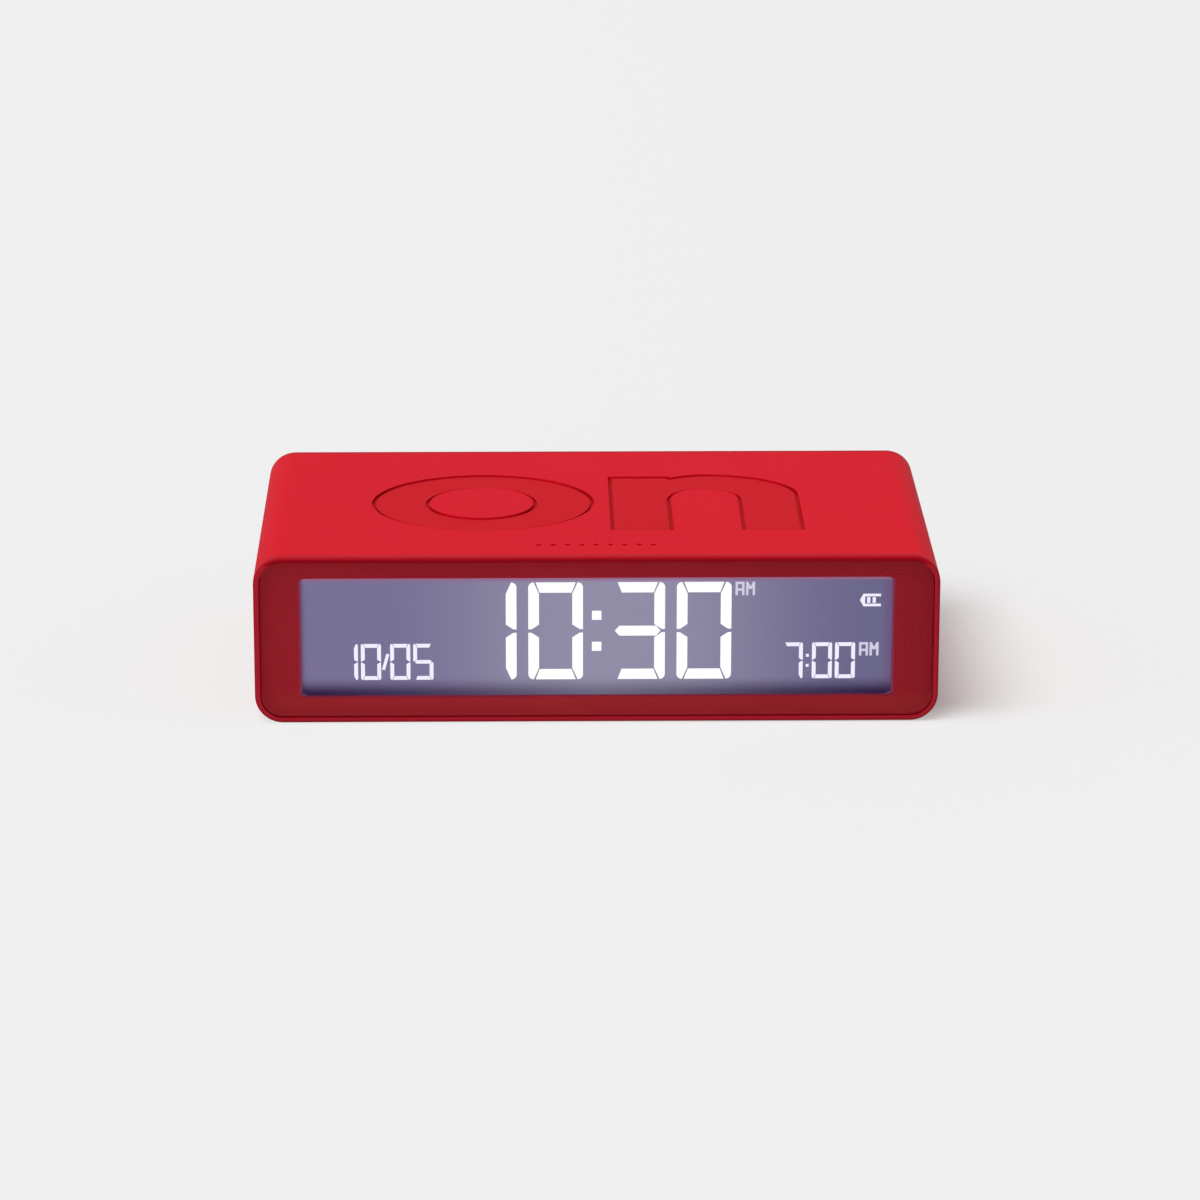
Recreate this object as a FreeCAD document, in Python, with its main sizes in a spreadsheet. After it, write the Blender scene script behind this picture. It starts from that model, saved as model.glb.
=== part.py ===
import FreeCAD, Part
import math
import operator
import os
from types import SimpleNamespace

import Sketcher

# Battery alarm clock shaped as a flat slab, turned over to switch the alarm on or off.
# Millimetres. +Z is up and the display faces -Y. The origin is at the bottom centre.

SIZES = {
    # outer sleeve: its width and height follow from what it holds
    "body_depth": 60.0,
    "corner_radius": 4.3,
    "edge_radius": 0.5,
    "wall": 1.8,
    "rim": 0.85,
    "seat_clearance": 0.1,
    # letters sunk in the top and the bottom
    "letter_depth": 0.15,
    "letter_groove_width": 0.6,
    "letter_groove_depth": 0.5,
    "top_letter_height": 31.3,
    "bottom_letter_height": 24.0,
    "dimple_diameter": 0.9,
    "dimple_depth": 0.3,
    "dimple_pitch": 2.2,
    "dimple_inset": 6.6,
    # front lens and its window
    "front_recess": 0.3,
    "lens_thickness": 1.5,
    "lens_edge": 0.25,
    "mask_thickness": 0.1,
    "tape_thickness": 0.2,
    "window_border_side": 7.2,
    "window_border_end": 3.85,
    "window_radius": 0.6,
    "window_margin": 0.4,
    # display module
    "holder_depth": 5.8,
    "holder_clearance": 0.15,
    "lip_thickness": 1.0,
    "glass_margin_side": 1.0,
    "glass_margin_end": 0.8,
    "glass_thickness": 0.7,
    "glass_ledge": 1.3,
    "film_thickness": 0.2,
    "film_margin": 0.2,
    "segment_thickness": 0.05,
    "reflector_thickness": 0.15,
    "guide_inset": 1.3,
    "led_length": 1.6,
    "led_height": 3.0,
    "digit_height": 15.6,
    "digit_width": 8.4,
    "digit_stroke": 1.65,
    "digit_space": 1.8,
    "colon_half_space": 2.1,
    "small_digit_height": 5.8,
    "small_digit_width": 3.1,
    "small_digit_stroke": 0.6,
    "small_digit_space": 0.45,
    "small_mark_space": 1.4,
    "small_text_inset": 5.5,
    "half_day_height": 2.15,
    "half_day_width": 3.0,
    # display circuit board
    "board_thickness": 1.2,
    "board_clearance": 0.3,
    "blob_diameter": 12.0,
    "blob_height": 1.4,
    "crystal_diameter": 2.0,
    "crystal_length": 6.0,
    # screws
    "screw_diameter": 1.6,
    "screw_head_diameter": 3.0,
    "screw_head_height": 1.0,
    "screw_grip": 4.4,
    "post_grip": 3.0,
    "screw_tip_gap": 0.4,
    "screw_inset_side": 2.2,
    "screw_inset_end": 3.45,
    "screw_clearance": 0.02,
    "hole_clearance": 0.1,
    "boss_width": 3.8,
    "boss_length": 7.0,
    # touch foils under the top and over the bottom
    "foil_width": 62.0,
    "foil_depth": 33.0,
    "foil_thickness": 0.1,
    "foil_tail_width": 6.0,
    "foil_tail_length": 3.2,
    "foil_inset": 1.9,
    # rear cover
    "rear_recess": 1.0,
    "cover_thickness": 2.0,
    "cover_edge": 0.3,
    # batteries, their box and contacts
    "cell_diameter": 10.3,
    "cell_length": 44.3,
    "cell_nub_diameter": 3.8,
    "cell_nub_length": 0.8,
    "cell_clearance": 0.25,
    "cell_door_gap": 0.05,
    "box_wall": 0.8,
    "box_gap": 0.1,
    "box_side_room": 7.2,
    "contact_thickness": 0.5,
    "contact_width": 7.6,
    "contact_tab_width": 2.4,
    "contact_tab_reach": 1.5,
    "spring_length": 4.7,
    "spring_wire": 0.5,
    "spring_base_diameter": 6.4,
    "spring_tip_diameter": 4.2,
    "spring_turns": 3.5,
    # battery door
    "door_thickness": 1.6,
    "door_ledge": 0.85,
    "door_clearance": 0.15,
    "door_edge": 0.25,
    "hinge_pin_diameter": 1.0,
    "hinge_pin_length": 0.9,
    "hinge_clearance": 0.03,
    "pad_length": 30.0,
    "pad_width": 2.6,
    "pad_thickness": 1.4,
    # buttons, their switches and board
    "button_diameter": 5.6,
    "button_clearance": 0.1,
    "button_proud": 0.6,
    "button_edge": 0.3,
    "button_flange": 0.6,
    "button_flange_height": 0.6,
    "button_stem_diameter": 2.4,
    "button_stem_length": 2.2,
    "button_travel": 0.5,
    "button_box_room": 5.7,
    "button_side_room": 9.7,
    "button_pitch": 7.2,
    "button_rise": 4.95,
    "glyph_depth": 0.2,
    "switch_width": 5.2,
    "switch_height": 2.2,
    "post_diameter": 3.2,
    "post_drop": 4.0,
    # buzzer
    "buzzer_drop": 6.35,
    "buzzer_diameter": 9.0,
    "buzzer_height": 4.2,
    "buzzer_wall": 0.5,
    "slot_width": 0.8,
    "slot_pitch": 1.7,
    # tilt switch
    "tilt_aside": 1.2,
    "tilt_rise": 0.75,
    "tilt_wall": 0.9,
    "tilt_ball_diameter": 3.2,
    "tilt_travel": 2.8,
    "tilt_clearance": 0.06,
    # leads
    "lead_diameter": 0.8,
    "red_lead_aside": 6.0,
    "red_lead_rise": -3.0,
    "black_lead_aside": 7.0,
    "black_lead_rise": 2.0,
    "buzzer_lead_spread": 3.2,
    "buzzer_lead_bow": 7.4,
    "ribbon_width": 6.0,
    "ribbon_thickness": 0.5,
    "ribbon_drop": 5.0,
}

doc = FreeCAD.newDocument("SlabAlarmClock")
sheet = doc.addObject("Spreadsheet::Sheet", "Sizes")
for row, (alias, number) in enumerate(SIZES.items(), start=1):
    sheet.set(f"A{row}", alias)
    sheet.set(f"B{row}", str(number))
    sheet.setAlias(f"B{row}", alias)
doc.recompute()

OPERATIONS = {"+": operator.add, "-": operator.sub, "*": operator.mul, "/": operator.truediv}


class Length:
    """A length worked out from the sheet: the text that binds it, and its value now."""

    def __init__(self, text, value):
        self.text = text
        self.value = value

    def __add__(self, other):
        return combine(self, "+", other)

    def __radd__(self, other):
        return combine(other, "+", self)

    def __sub__(self, other):
        return combine(self, "-", other)

    def __rsub__(self, other):
        return combine(other, "-", self)

    def __mul__(self, other):
        return combine(self, "*", other)

    def __rmul__(self, other):
        return combine(other, "*", self)

    def __truediv__(self, other):
        return combine(self, "/", other)

    def __neg__(self):
        return combine(0, "-", self)


def as_length(number):
    if isinstance(number, Length):
        return number
    return Length(f"({float(number)})", float(number))


def combine(left, sign, right):
    left = as_length(left)
    right = as_length(right)
    return Length(f"({left.text} {sign} {right.text})", OPERATIONS[sign](left.value, right.value))


size = SimpleNamespace(**{alias: Length(f"Sizes.{alias}", float(getattr(sheet, alias))) for alias in SIZES})

# The sleeve holds two cells one above the other, and beside them a row of five buttons.
BUTTON_NAMES = ("mode_button", "set_button", "minus_button", "plus_button", "light_button")
box_length = size.cell_length + size.spring_length + 2 * size.contact_thickness
button_row = (len(BUTTON_NAMES) - 1) * size.button_pitch
inner_width = size.box_side_room + box_length + size.button_box_room + button_row + size.button_side_room
body_width = inner_width + 2 * size.wall
cell_room = size.cell_diameter + size.cell_clearance
body_height = 2 * (cell_room + size.box_wall + size.box_gap + size.wall)

# Places worked out from the sizes.
mid_z = body_height / 2
inner_half_width = inner_width / 2
inner_bottom = size.wall
inner_top = body_height - size.wall
inner_radius = size.corner_radius - size.wall
seat_radius = size.corner_radius - size.rim

front_face = -size.body_depth / 2
lens_front = front_face + size.front_recess
lens_rear = lens_front + size.lens_thickness
mask_rear = lens_rear + size.mask_thickness
front_seat = mask_rear + size.tape_thickness
lip_rear = front_seat + size.lip_thickness
board_front = front_seat + size.holder_depth
board_rear = board_front + size.board_thickness

rear_face = size.body_depth / 2
cover_rear = rear_face - size.rear_recess
cover_front = cover_rear - size.cover_thickness

screw_x = inner_half_width - size.screw_inset_side
screw_rows = (inner_bottom + size.screw_inset_end, inner_top - size.screw_inset_end)
screw_places = [(side * screw_x, z) for side in (-1, 1) for z in screw_rows]

plate_width = body_width - 2 * size.rim - 2 * size.seat_clearance
plate_height = body_height - 2 * size.rim - 2 * size.seat_clearance
plate_radius = seat_radius - size.seat_clearance

window_width = body_width - 2 * size.window_border_side
window_height = body_height - 2 * size.window_border_end
glass_width = window_width + 2 * size.glass_margin_side
glass_height = window_height + 2 * size.glass_margin_end

parts = {}


def bind(thing, where, length):
    thing.setExpression(where, as_length(length).text)


def keep(name, thing):
    """Names a finished sub-part and remembers it for its file."""
    thing.Label = name
    parts[name] = thing
    return thing


def block(x_span, y_span, z_span):
    shape = doc.addObject("Part::Box", "Block")
    for side, axis, (low, high) in (
        ("Length", "x", x_span),
        ("Width", "y", y_span),
        ("Height", "z", z_span),
    ):
        bind(shape, side, high - low)
        bind(shape, f"Placement.Base.{axis}", low)
    return shape


AXIS_TURNS = {
    "x": FreeCAD.Rotation(FreeCAD.Vector(0, 1, 0), 90),
    "y": FreeCAD.Rotation(FreeCAD.Vector(1, 0, 0), -90),
    "z": FreeCAD.Rotation(),
}


def rod(axis, span, across, diameter):
    """A round bar along one axis, at the two coordinates across it, in x, y, z order."""
    shape = doc.addObject("Part::Cylinder", "Rod")
    shape.Placement = FreeCAD.Placement(FreeCAD.Vector(), AXIS_TURNS[axis])
    bind(shape, "Radius", diameter / 2)
    bind(shape, "Height", span[1] - span[0])
    bind(shape, f"Placement.Base.{axis}", span[0])
    for other, place in zip([letter for letter in "xyz" if letter != axis], across):
        bind(shape, f"Placement.Base.{other}", place)
    return shape


def fuse(*shapes):
    joined = doc.addObject("Part::MultiFuse", "Joined")
    joined.Shapes = list(shapes)
    return joined


def group(*shapes):
    together = doc.addObject("Part::Compound", "Group")
    together.Links = list(shapes)
    return together


def cut(base, *tools):
    result = doc.addObject("Part::Cut", "Cut")
    result.Base = base
    result.Tool = tools[0] if len(tools) == 1 else fuse(*tools)
    return result


def coded(shape):
    """A sub-part whose curves are worked out in code from the sheet's values."""
    feature = doc.addObject("Part::Feature", "Coded")
    feature.Shape = shape
    feature.Placement = FreeCAD.Placement()
    return feature


def plane(body, role):
    return next(item for item in body.Origin.OriginFeatures if item.Role == role)


def sketch_across_depth(body, y, x, z):
    """A sketch on a plane that faces -Y, with its own origin at (x, z)."""
    sketch = body.newObject("Sketcher::SketchObject", "Outline")
    sketch.AttachmentSupport = [(plane(body, "XZ_Plane"), "")]
    sketch.MapMode = "FlatFace"
    bind(sketch, "AttachmentOffset.Base.x", x)
    bind(sketch, "AttachmentOffset.Base.y", z)
    bind(sketch, "AttachmentOffset.Base.z", -as_length(y))
    return sketch


def name_size(sketch, constraint, label, length):
    number = sketch.addConstraint(constraint)
    sketch.renameConstraint(number, label)
    bind(sketch, f"Constraints.{label}", length)


def draw_rounded(sketch, width, height, radius, label):
    """A rounded rectangle about the sketch's origin: four arcs and the four sides between them."""
    reach_x = width.value / 2 - radius.value
    reach_y = height.value / 2 - radius.value
    centres = [(reach_x, reach_y), (-reach_x, reach_y), (-reach_x, -reach_y), (reach_x, -reach_y)]
    arcs = []
    for turn, (x, y) in enumerate(centres):
        circle = Part.Circle(FreeCAD.Vector(x, y, 0), FreeCAD.Vector(0, 0, 1), radius.value)
        start = turn * math.pi / 2
        arcs.append(sketch.addGeometry(Part.ArcOfCircle(circle, start, start + math.pi / 2), False))
    sides = []
    for turn in range(4):
        start = sketch.getPoint(arcs[turn], 2)
        end = sketch.getPoint(arcs[(turn + 1) % 4], 1)
        sides.append(sketch.addGeometry(Part.LineSegment(start, end), False))
    for turn in range(4):
        sketch.addConstraint(Sketcher.Constraint("Tangent", arcs[turn], 2, sides[turn], 1))
        sketch.addConstraint(Sketcher.Constraint("Tangent", sides[turn], 2, arcs[(turn + 1) % 4], 1))
    for turn in (0, 2):
        sketch.addConstraint(Sketcher.Constraint("Horizontal", sides[turn]))
        sketch.addConstraint(Sketcher.Constraint("Vertical", sides[turn + 1]))
    for turn in (1, 2, 3):
        sketch.addConstraint(Sketcher.Constraint("Equal", arcs[0], arcs[turn]))
    sketch.addConstraint(Sketcher.Constraint("Symmetric", arcs[0], 3, arcs[2], 3, -1, 1))
    across = Sketcher.Constraint("DistanceX", sides[1], 1, sides[3], 1, width.value)
    upright = Sketcher.Constraint("DistanceY", sides[2], 1, sides[0], 1, height.value)
    name_size(sketch, Sketcher.Constraint("Radius", arcs[0], radius.value), f"{label}_radius", radius)
    name_size(sketch, across, f"{label}_width", width)
    name_size(sketch, upright, f"{label}_height", height)


def draw_circle(sketch, diameter):
    circle = Part.Circle(FreeCAD.Vector(), FreeCAD.Vector(0, 0, 1), diameter.value / 2)
    number = sketch.addGeometry(circle, False)
    sketch.addConstraint(Sketcher.Constraint("Coincident", number, 3, -1, 1))
    name_size(sketch, Sketcher.Constraint("Diameter", number, diameter.value), "diameter", diameter)


def pad(body, sketch, length):
    feature = body.newObject("PartDesign::Pad", "Pad")
    feature.Profile = sketch
    bind(feature, "Length", length)
    return feature


def pocket(body, sketch, length):
    feature = body.newObject("PartDesign::Pocket", "Pocket")
    feature.Profile = sketch
    bind(feature, "Length", length)
    return feature


def plate(width, height, radius, y_span, window=None, x=0, z=mid_z):
    """A rounded plate that stands across the depth, with a rounded window where one is given."""
    body = doc.addObject("PartDesign::Body", "Plate")
    sketch = sketch_across_depth(body, y_span[1], x, z)
    draw_rounded(sketch, as_length(width), as_length(height), as_length(radius), "outer")
    if window:
        draw_rounded(sketch, *(as_length(length) for length in window), "window")
    pad(body, sketch, y_span[1] - y_span[0])
    return body


def round_edges(body, radius, wanted):
    """Rounds each edge of a body whose box passes the test."""
    doc.recompute()
    base = body.Tip
    edges = enumerate(base.Shape.Edges, start=1)
    names = [f"Edge{number}" for number, edge in edges if wanted(edge.BoundBox)]
    feature = body.newObject("PartDesign::Fillet", "Rounding")
    feature.Base = (base, names)
    bind(feature, "Radius", radius)
    return feature


def lies_at(low, high, place):
    return abs(low - place.value) < 1e-4 and abs(high - place.value) < 1e-4


def line(start, end):
    return Part.LineSegment(FreeCAD.Vector(*start, 0), FreeCAD.Vector(*end, 0)).toShape()


def quarter(start, corner, end):
    """A quarter of an ellipse from start to end, drawn towards the corner of its box."""
    curve = Part.BezierCurve()
    curve.setPoles([FreeCAD.Vector(*point, 0) for point in (start, corner, end)])
    curve.setWeight(2, math.sqrt(0.5))
    return curve.toShape()


def oval(centre, half_width, half_height):
    x, y = centre
    right, top, left, bottom = x + half_width, y + half_height, x - half_width, y - half_height
    return Part.Wire([
        quarter((right, y), (right, top), (x, top)),
        quarter((x, top), (left, top), (left, y)),
        quarter((left, y), (left, bottom), (x, bottom)),
        quarter((x, bottom), (right, bottom), (right, y)),
    ])


# Letter shares of the height of a small letter, read along its strokes.
ROUND_STROKE = 0.298
ROUND_TOP_STROKE = 0.23
STEM_STROKE = 0.311
O_WIDTH = 1.119
O_COUNTER_SHIFT = 0.008
F_WIDTH = 0.66
ASCENDER = 1.38


def letter_o(left, height, inset=0):
    """A round letter with its centre on the line y = 0, drawn in by an inset all round."""
    half_width = O_WIDTH * height / 2
    centre_x = left + half_width
    inner_width = half_width - ROUND_STROKE * height + inset
    inner_height = (0.5 - ROUND_TOP_STROKE) * height + inset
    inner_centre = (centre_x - O_COUNTER_SHIFT * height, -O_COUNTER_SHIFT * height)
    outer = oval((centre_x, 0), half_width - inset, height / 2 - inset)
    counter = oval(inner_centre, inner_width, inner_height)
    return Part.makeFace([outer, counter], "Part::FaceMakerBullseye")


def letter_n(left, height, inset=0):
    """An arched letter with its mid-height on y = 0: stem, shoulder and right leg."""
    base = -0.5 * height + inset
    stem_left = left + inset
    stem_top = 0.464 * height - inset
    stem_right = left + STEM_STROKE * height - inset
    arch_top = 0.5 * height - inset
    arch_x = left + 0.485 * height
    right = left + 0.961 * height - inset
    leg_left = left + (0.961 - STEM_STROKE) * height + inset
    shoulder = 0.13 * height
    inner_top = 0.228 * height + inset
    inner_x = left + 0.456 * height
    inner_right_y = 0.068 * height
    inner_left_y = 0.038 * height
    notch = (left + (STEM_STROKE + 0.01) * height, 0.437 * height - inset)
    edges = [
        line((stem_left, base), (stem_left, stem_top)),
        line((stem_left, stem_top), (stem_right, stem_top)),
        line((stem_right, stem_top), notch),
        quarter(notch, (notch[0] + 0.07 * height, arch_top), (arch_x, arch_top)),
        quarter((arch_x, arch_top), (right, arch_top), (right, shoulder)),
        line((right, shoulder), (right, base)),
        line((right, base), (leg_left, base)),
        line((leg_left, base), (leg_left, inner_right_y)),
        quarter((leg_left, inner_right_y), (leg_left, inner_top), (inner_x, inner_top)),
        quarter((inner_x, inner_top), (stem_right, inner_top), (stem_right, inner_left_y)),
        line((stem_right, inner_left_y), (stem_right, base)),
        line((stem_right, base), (stem_left, base)),
    ]
    return Part.Face(Part.Wire(edges))


def letter_f(left, height, inset=0):
    """A hooked letter with a crossbar whose top is level with the small letters."""
    base = -0.5 * height + inset
    bar_left = left + inset
    bar_top = 0.5 * height - inset
    bar_bottom = 0.28 * height + inset
    top = (ASCENDER - 0.5) * height - inset
    right = left + F_WIDTH * height - inset
    stem_left = left + 0.17 * height + inset
    stem_right = left + (0.17 + STEM_STROKE) * height - inset
    bend_x = left + (0.23 + STEM_STROKE) * height
    hook_start = 0.56 * height
    hook_bottom = (ASCENDER - 0.72) * height + inset
    edges = [
        line((stem_left, base), (stem_left, bar_bottom)),
        line((stem_left, bar_bottom), (bar_left, bar_bottom)),
        line((bar_left, bar_bottom), (bar_left, bar_top)),
        line((bar_left, bar_top), (stem_left, bar_top)),
        line((stem_left, bar_top), (stem_left, hook_start)),
        quarter((stem_left, hook_start), (stem_left, top), (bend_x, top)),
        line((bend_x, top), (right, top)),
        line((right, top), (right, hook_bottom)),
        line((right, hook_bottom), (bend_x, hook_bottom)),
        quarter((bend_x, hook_bottom), (stem_right, hook_bottom), (stem_right, hook_start)),
        line((stem_right, hook_start), (stem_right, bar_top)),
        line((stem_right, bar_top), (right, bar_top)),
        line((right, bar_top), (right, bar_bottom)),
        line((right, bar_bottom), (stem_right, bar_bottom)),
        line((stem_right, bar_bottom), (stem_right, base)),
        line((stem_right, base), (stem_left, base)),
    ]
    return Part.Face(Part.Wire(edges))


def sunk_letters(drawn, height, surface, shift=0, mirrored=False):
    """Cutters for a row of letters: a shallow floor, and a deeper groove inside each outline."""
    floors = []
    grooves = []
    for draw, left in drawn:
        whole = draw(left, height)
        groove = whole.cut(draw(left, height, size.letter_groove_width.value))
        for face, depth, solids in (
            (whole, size.letter_depth.value, floors),
            (groove, size.letter_groove_depth.value, grooves),
        ):
            placed = face.translated(FreeCAD.Vector(0, shift, surface - depth))
            solids += placed.extrude(FreeCAD.Vector(0, 0, 2 * depth)).Solids
    cutters = [Part.Compound(floors), Part.Compound(grooves)]
    if mirrored:
        cutters = [cutter.mirror(FreeCAD.Vector(), FreeCAD.Vector(1, 0, 0)) for cutter in cutters]
    return [coded(cutter) for cutter in cutters]


def top_letters():
    """The word on, sunk in the top."""
    height = size.top_letter_height.value
    drawn = [(letter_o, -O_WIDTH * height), (letter_n, 0.077 * height)]
    return sunk_letters(drawn, height, body_height.value)


def bottom_letters():
    """The word off, sunk in the bottom and read from below."""
    height = size.bottom_letter_height.value
    gap = 0.08 * height
    widths = [O_WIDTH * height, F_WIDTH * height, F_WIDTH * height]
    left = -(sum(widths) + 2 * gap) / 2
    drawn = []
    for draw, width in zip((letter_o, letter_f, letter_f), widths):
        drawn.append((draw, left))
        left += width + gap
    return sunk_letters(drawn, height, 0, -0.5 * (ASCENDER - 1) * height, True)


def screw(x, z, head_face, tip, way):
    """A pan head screw along the depth with a cross recess: way is +1 where it points to +Y."""
    neck = head_face + way * size.screw_head_height
    low, high = (neck, tip) if way > 0 else (tip, neck)
    head_low, head_high = (head_face, neck) if way > 0 else (neck, head_face)
    shank = rod("y", (low, high), (x, z), size.screw_diameter)
    head = rod("y", (head_low, head_high), (x, z), size.screw_head_diameter)
    recess_end = head_face + way * size.screw_head_height * 0.6
    recess = (head_face, recess_end) if way > 0 else (recess_end, head_face)
    long_half = size.screw_head_diameter * 0.3
    short_half = size.screw_head_diameter * 0.08
    upright = block((x - short_half, x + short_half), recess, (z - long_half, z + long_half))
    across = block((x - long_half, x + long_half), recess, (z - short_half, z + short_half))
    return cut(fuse(shank, head), upright, across)


def make_sleeve():
    """The coloured tube: rounded wall, seats at both ends, screw bosses and the sunk letters."""
    body = doc.addObject("PartDesign::Body", "SleeveTube")
    ring = sketch_across_depth(body, rear_face, 0, mid_z)
    draw_rounded(ring, body_width, body_height, size.corner_radius, "outer")
    draw_rounded(ring, 2 * inner_half_width, inner_top - inner_bottom, inner_radius, "inner")
    pad(body, ring, size.body_depth)
    seat_width = body_width - 2 * size.rim
    seat_height = body_height - 2 * size.rim
    for start, length in ((front_face, front_seat - front_face), (cover_front, rear_face - cover_front)):
        seat = sketch_across_depth(body, start, 0, mid_z)
        draw_rounded(seat, seat_width, seat_height, seat_radius, "seat")
        pocket(body, seat, length)
    half_width = body_width.value / 2
    middle = body_height.value / 2

    def outer_rim(box):
        at_end = lies_at(box.YMin, box.YMax, front_face) or lies_at(box.YMin, box.YMax, rear_face)
        reach_x = max(abs(box.XMin), abs(box.XMax)) - half_width
        reach_z = max(abs(box.ZMin - middle), abs(box.ZMax - middle)) - middle
        return at_end and max(reach_x, reach_z) > -1e-4

    round_edges(body, size.edge_radius, outer_rim)
    bosses = []
    pilots = []
    half = size.boss_width / 2
    pilot = size.screw_diameter + 2 * size.screw_clearance
    pilot_deep = size.screw_grip + size.screw_tip_gap
    for x, z in screw_places:
        wall_x = inner_half_width + size.wall / 4
        span = (x - half, wall_x) if x.value > 0 else (-wall_x, x + half)
        bosses.append(block(span, (board_rear, board_rear + size.boss_length), (z - half, z + half)))
        bosses.append(block(span, (cover_front - size.boss_length, cover_front), (z - half, z + half)))
        pilots.append(rod("y", (board_rear, board_rear + pilot_deep), (x, z), pilot))
        pilots.append(rod("y", (cover_front - pilot_deep, cover_front), (x, z), pilot))
    dimples = []
    dimple_floor = body_height - size.dimple_depth
    for step in range(-4, 5):
        place = (step * size.dimple_pitch, front_face + size.dimple_inset)
        dimples.append(rod("z", (dimple_floor, body_height + 1), place, size.dimple_diameter))
    sunk = top_letters() + bottom_letters()
    keep("sleeve", cut(fuse(body, *bosses), *pilots, *dimples, *sunk))


def make_lens():
    """The clear front with its printed border behind it and the tape that holds it."""
    window = (window_width, window_height, size.window_radius)
    lens = plate(plate_width, plate_height, plate_radius, (lens_front, lens_rear))
    round_edges(lens, size.lens_edge, lambda box: lies_at(box.YMin, box.YMax, lens_front))
    keep("front_lens", lens)
    keep("window_mask", plate(plate_width, plate_height, plate_radius, (lens_rear, mask_rear), window))
    tape_window = tuple(length + 2 * size.window_margin for length in window)
    keep("lens_tape", plate(plate_width, plate_height, plate_radius, (mask_rear, front_seat), tape_window))


def make_display_holder():
    """The frame that holds the display against a lip, with its screws to the sleeve."""
    width = 2 * inner_half_width - 2 * size.holder_clearance
    height = inner_top - inner_bottom - 2 * size.holder_clearance
    radius = inner_radius - size.holder_clearance
    opening = tuple(
        length + 2 * size.window_margin
        for length in (window_width, window_height, size.window_radius)
    )
    frame = plate(width, height, radius, (front_seat, board_front), opening)
    half_width = glass_width / 2 + size.holder_clearance
    half_height = glass_height / 2 + size.holder_clearance
    room = block(
        (-half_width, half_width),
        (lip_rear, board_front),
        (mid_z - half_height, mid_z + half_height),
    )
    head_face = board_front - size.screw_head_height - size.lip_thickness * 1.5
    seat = head_face + size.screw_head_height
    tools = [room]
    screws = []
    for x, z in screw_places:
        tools.append(rod("y", (seat, board_front), (x, z), size.screw_diameter + 2 * size.hole_clearance))
        wide = size.screw_head_diameter + 2 * size.hole_clearance
        tools.append(rod("y", (front_seat, seat), (x, z), wide))
        screws.append(screw(x, z, head_face, board_rear + size.screw_grip, 1))
    keep("display_holder", cut(frame, *tools))
    keep("holder_screws", group(*screws))


# Strokes of a seven-part digit: top, upper right, lower right, bottom, lower left, upper left, middle.
DIGIT_STROKES = {"0": "abcdef", "1": "bc", "3": "abcdg", "5": "acdfg", "7": "abc"}


def flat(points):
    corners = [FreeCAD.Vector(x, z, 0) for x, z in points]
    return Part.Face(Part.makePolygon(corners + corners[:1]))


def digit(text, left, bottom, width, height, stroke):
    """The lit strokes of one digit: slanted ends, thin gaps and rounded outer corners."""
    middle = height / 2
    nip = 0.5 * stroke
    level = [
        (0.68 * stroke, height), (width - 0.68 * stroke, height),
        (width - 1.06 * stroke, height - stroke), (1.06 * stroke, height - stroke),
    ]
    upright = [
        (0, height - nip), (0, middle + 0.17 * stroke), (0.3 * stroke, middle + 0.17 * stroke),
        (stroke, middle + 0.64 * stroke), (stroke, height - 1.12 * stroke), (nip, height),
    ]
    centre = [
        (0.42 * stroke, middle), (0.83 * stroke, middle + 0.48 * stroke),
        (width - 0.83 * stroke, middle + 0.48 * stroke), (width - 0.42 * stroke, middle),
        (width - 0.83 * stroke, middle - 0.48 * stroke), (0.83 * stroke, middle - 0.48 * stroke),
    ]

    def placed(points, across, under):
        shown = [(width - x if across else x, height - z if under else z) for x, z in points]
        return [(left + x, bottom + z) for x, z in shown]

    def upright_face(across, under):
        points = placed(upright, across, under)
        corner = placed([(0, height)], across, under)[0]
        edges = [line(start, end) for start, end in zip(points, points[1:])]
        edges.append(quarter(points[-1], corner, points[0]))
        return Part.Face(Part.Wire(edges))

    drawn = {
        "a": lambda: flat(placed(level, False, False)),
        "b": lambda: upright_face(True, False),
        "c": lambda: upright_face(True, True),
        "d": lambda: flat(placed(level, False, True)),
        "e": lambda: upright_face(False, True),
        "f": lambda: upright_face(False, False),
        "g": lambda: flat(placed(centre, False, False)),
    }
    return [drawn[stroke_name]() for stroke_name in DIGIT_STROKES[text]]


def bar(start, end, thickness):
    """A straight stroke between two points of the display."""
    run = FreeCAD.Vector(end[0] - start[0], end[1] - start[1])
    side = FreeCAD.Vector(-run.y, run.x).normalize() * (thickness / 2)
    corners = [(start, 1), (end, 1), (end, -1), (start, -1)]
    return flat([(point[0] + sign * side.x, point[1] + sign * side.y) for point, sign in corners])


def joined_strokes(strokes, thickness):
    faces = [bar(start, end, thickness) for start, end in strokes]
    return faces[0].multiFuse(faces[1:]).removeSplitter().Faces


def day_half(left, bottom, width, height):
    """The two letters that mark the morning half of the day, drawn from straight strokes."""
    thickness = 0.17 * height
    half = thickness / 2
    letter = 0.46 * width
    top = bottom + height
    high = top - half
    bar_z = bottom + 0.42 * height
    near, far = left + half, left + letter - half
    first = [
        ((near, bottom), (near, top)),
        ((far, bottom), (far, top)),
        ((near, high), (far, high)),
        ((near, bar_z), (far, bar_z)),
    ]
    right = left + width
    near, far = right - letter + half, right - half
    valley = ((near + far) / 2, bottom + 0.48 * height)
    second = [
        ((near, bottom), (near, top)),
        ((near, high), valley),
        (valley, (far, high)),
        ((far, bottom), (far, top)),
    ]
    return joined_strokes(first, thickness) + joined_strokes(second, thickness)


def square(centre_x, centre_z, side):
    half = side / 2
    return flat([
        (centre_x - half, centre_z - half), (centre_x + half, centre_z - half),
        (centre_x + half, centre_z + half), (centre_x - half, centre_z + half),
    ])


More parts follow.
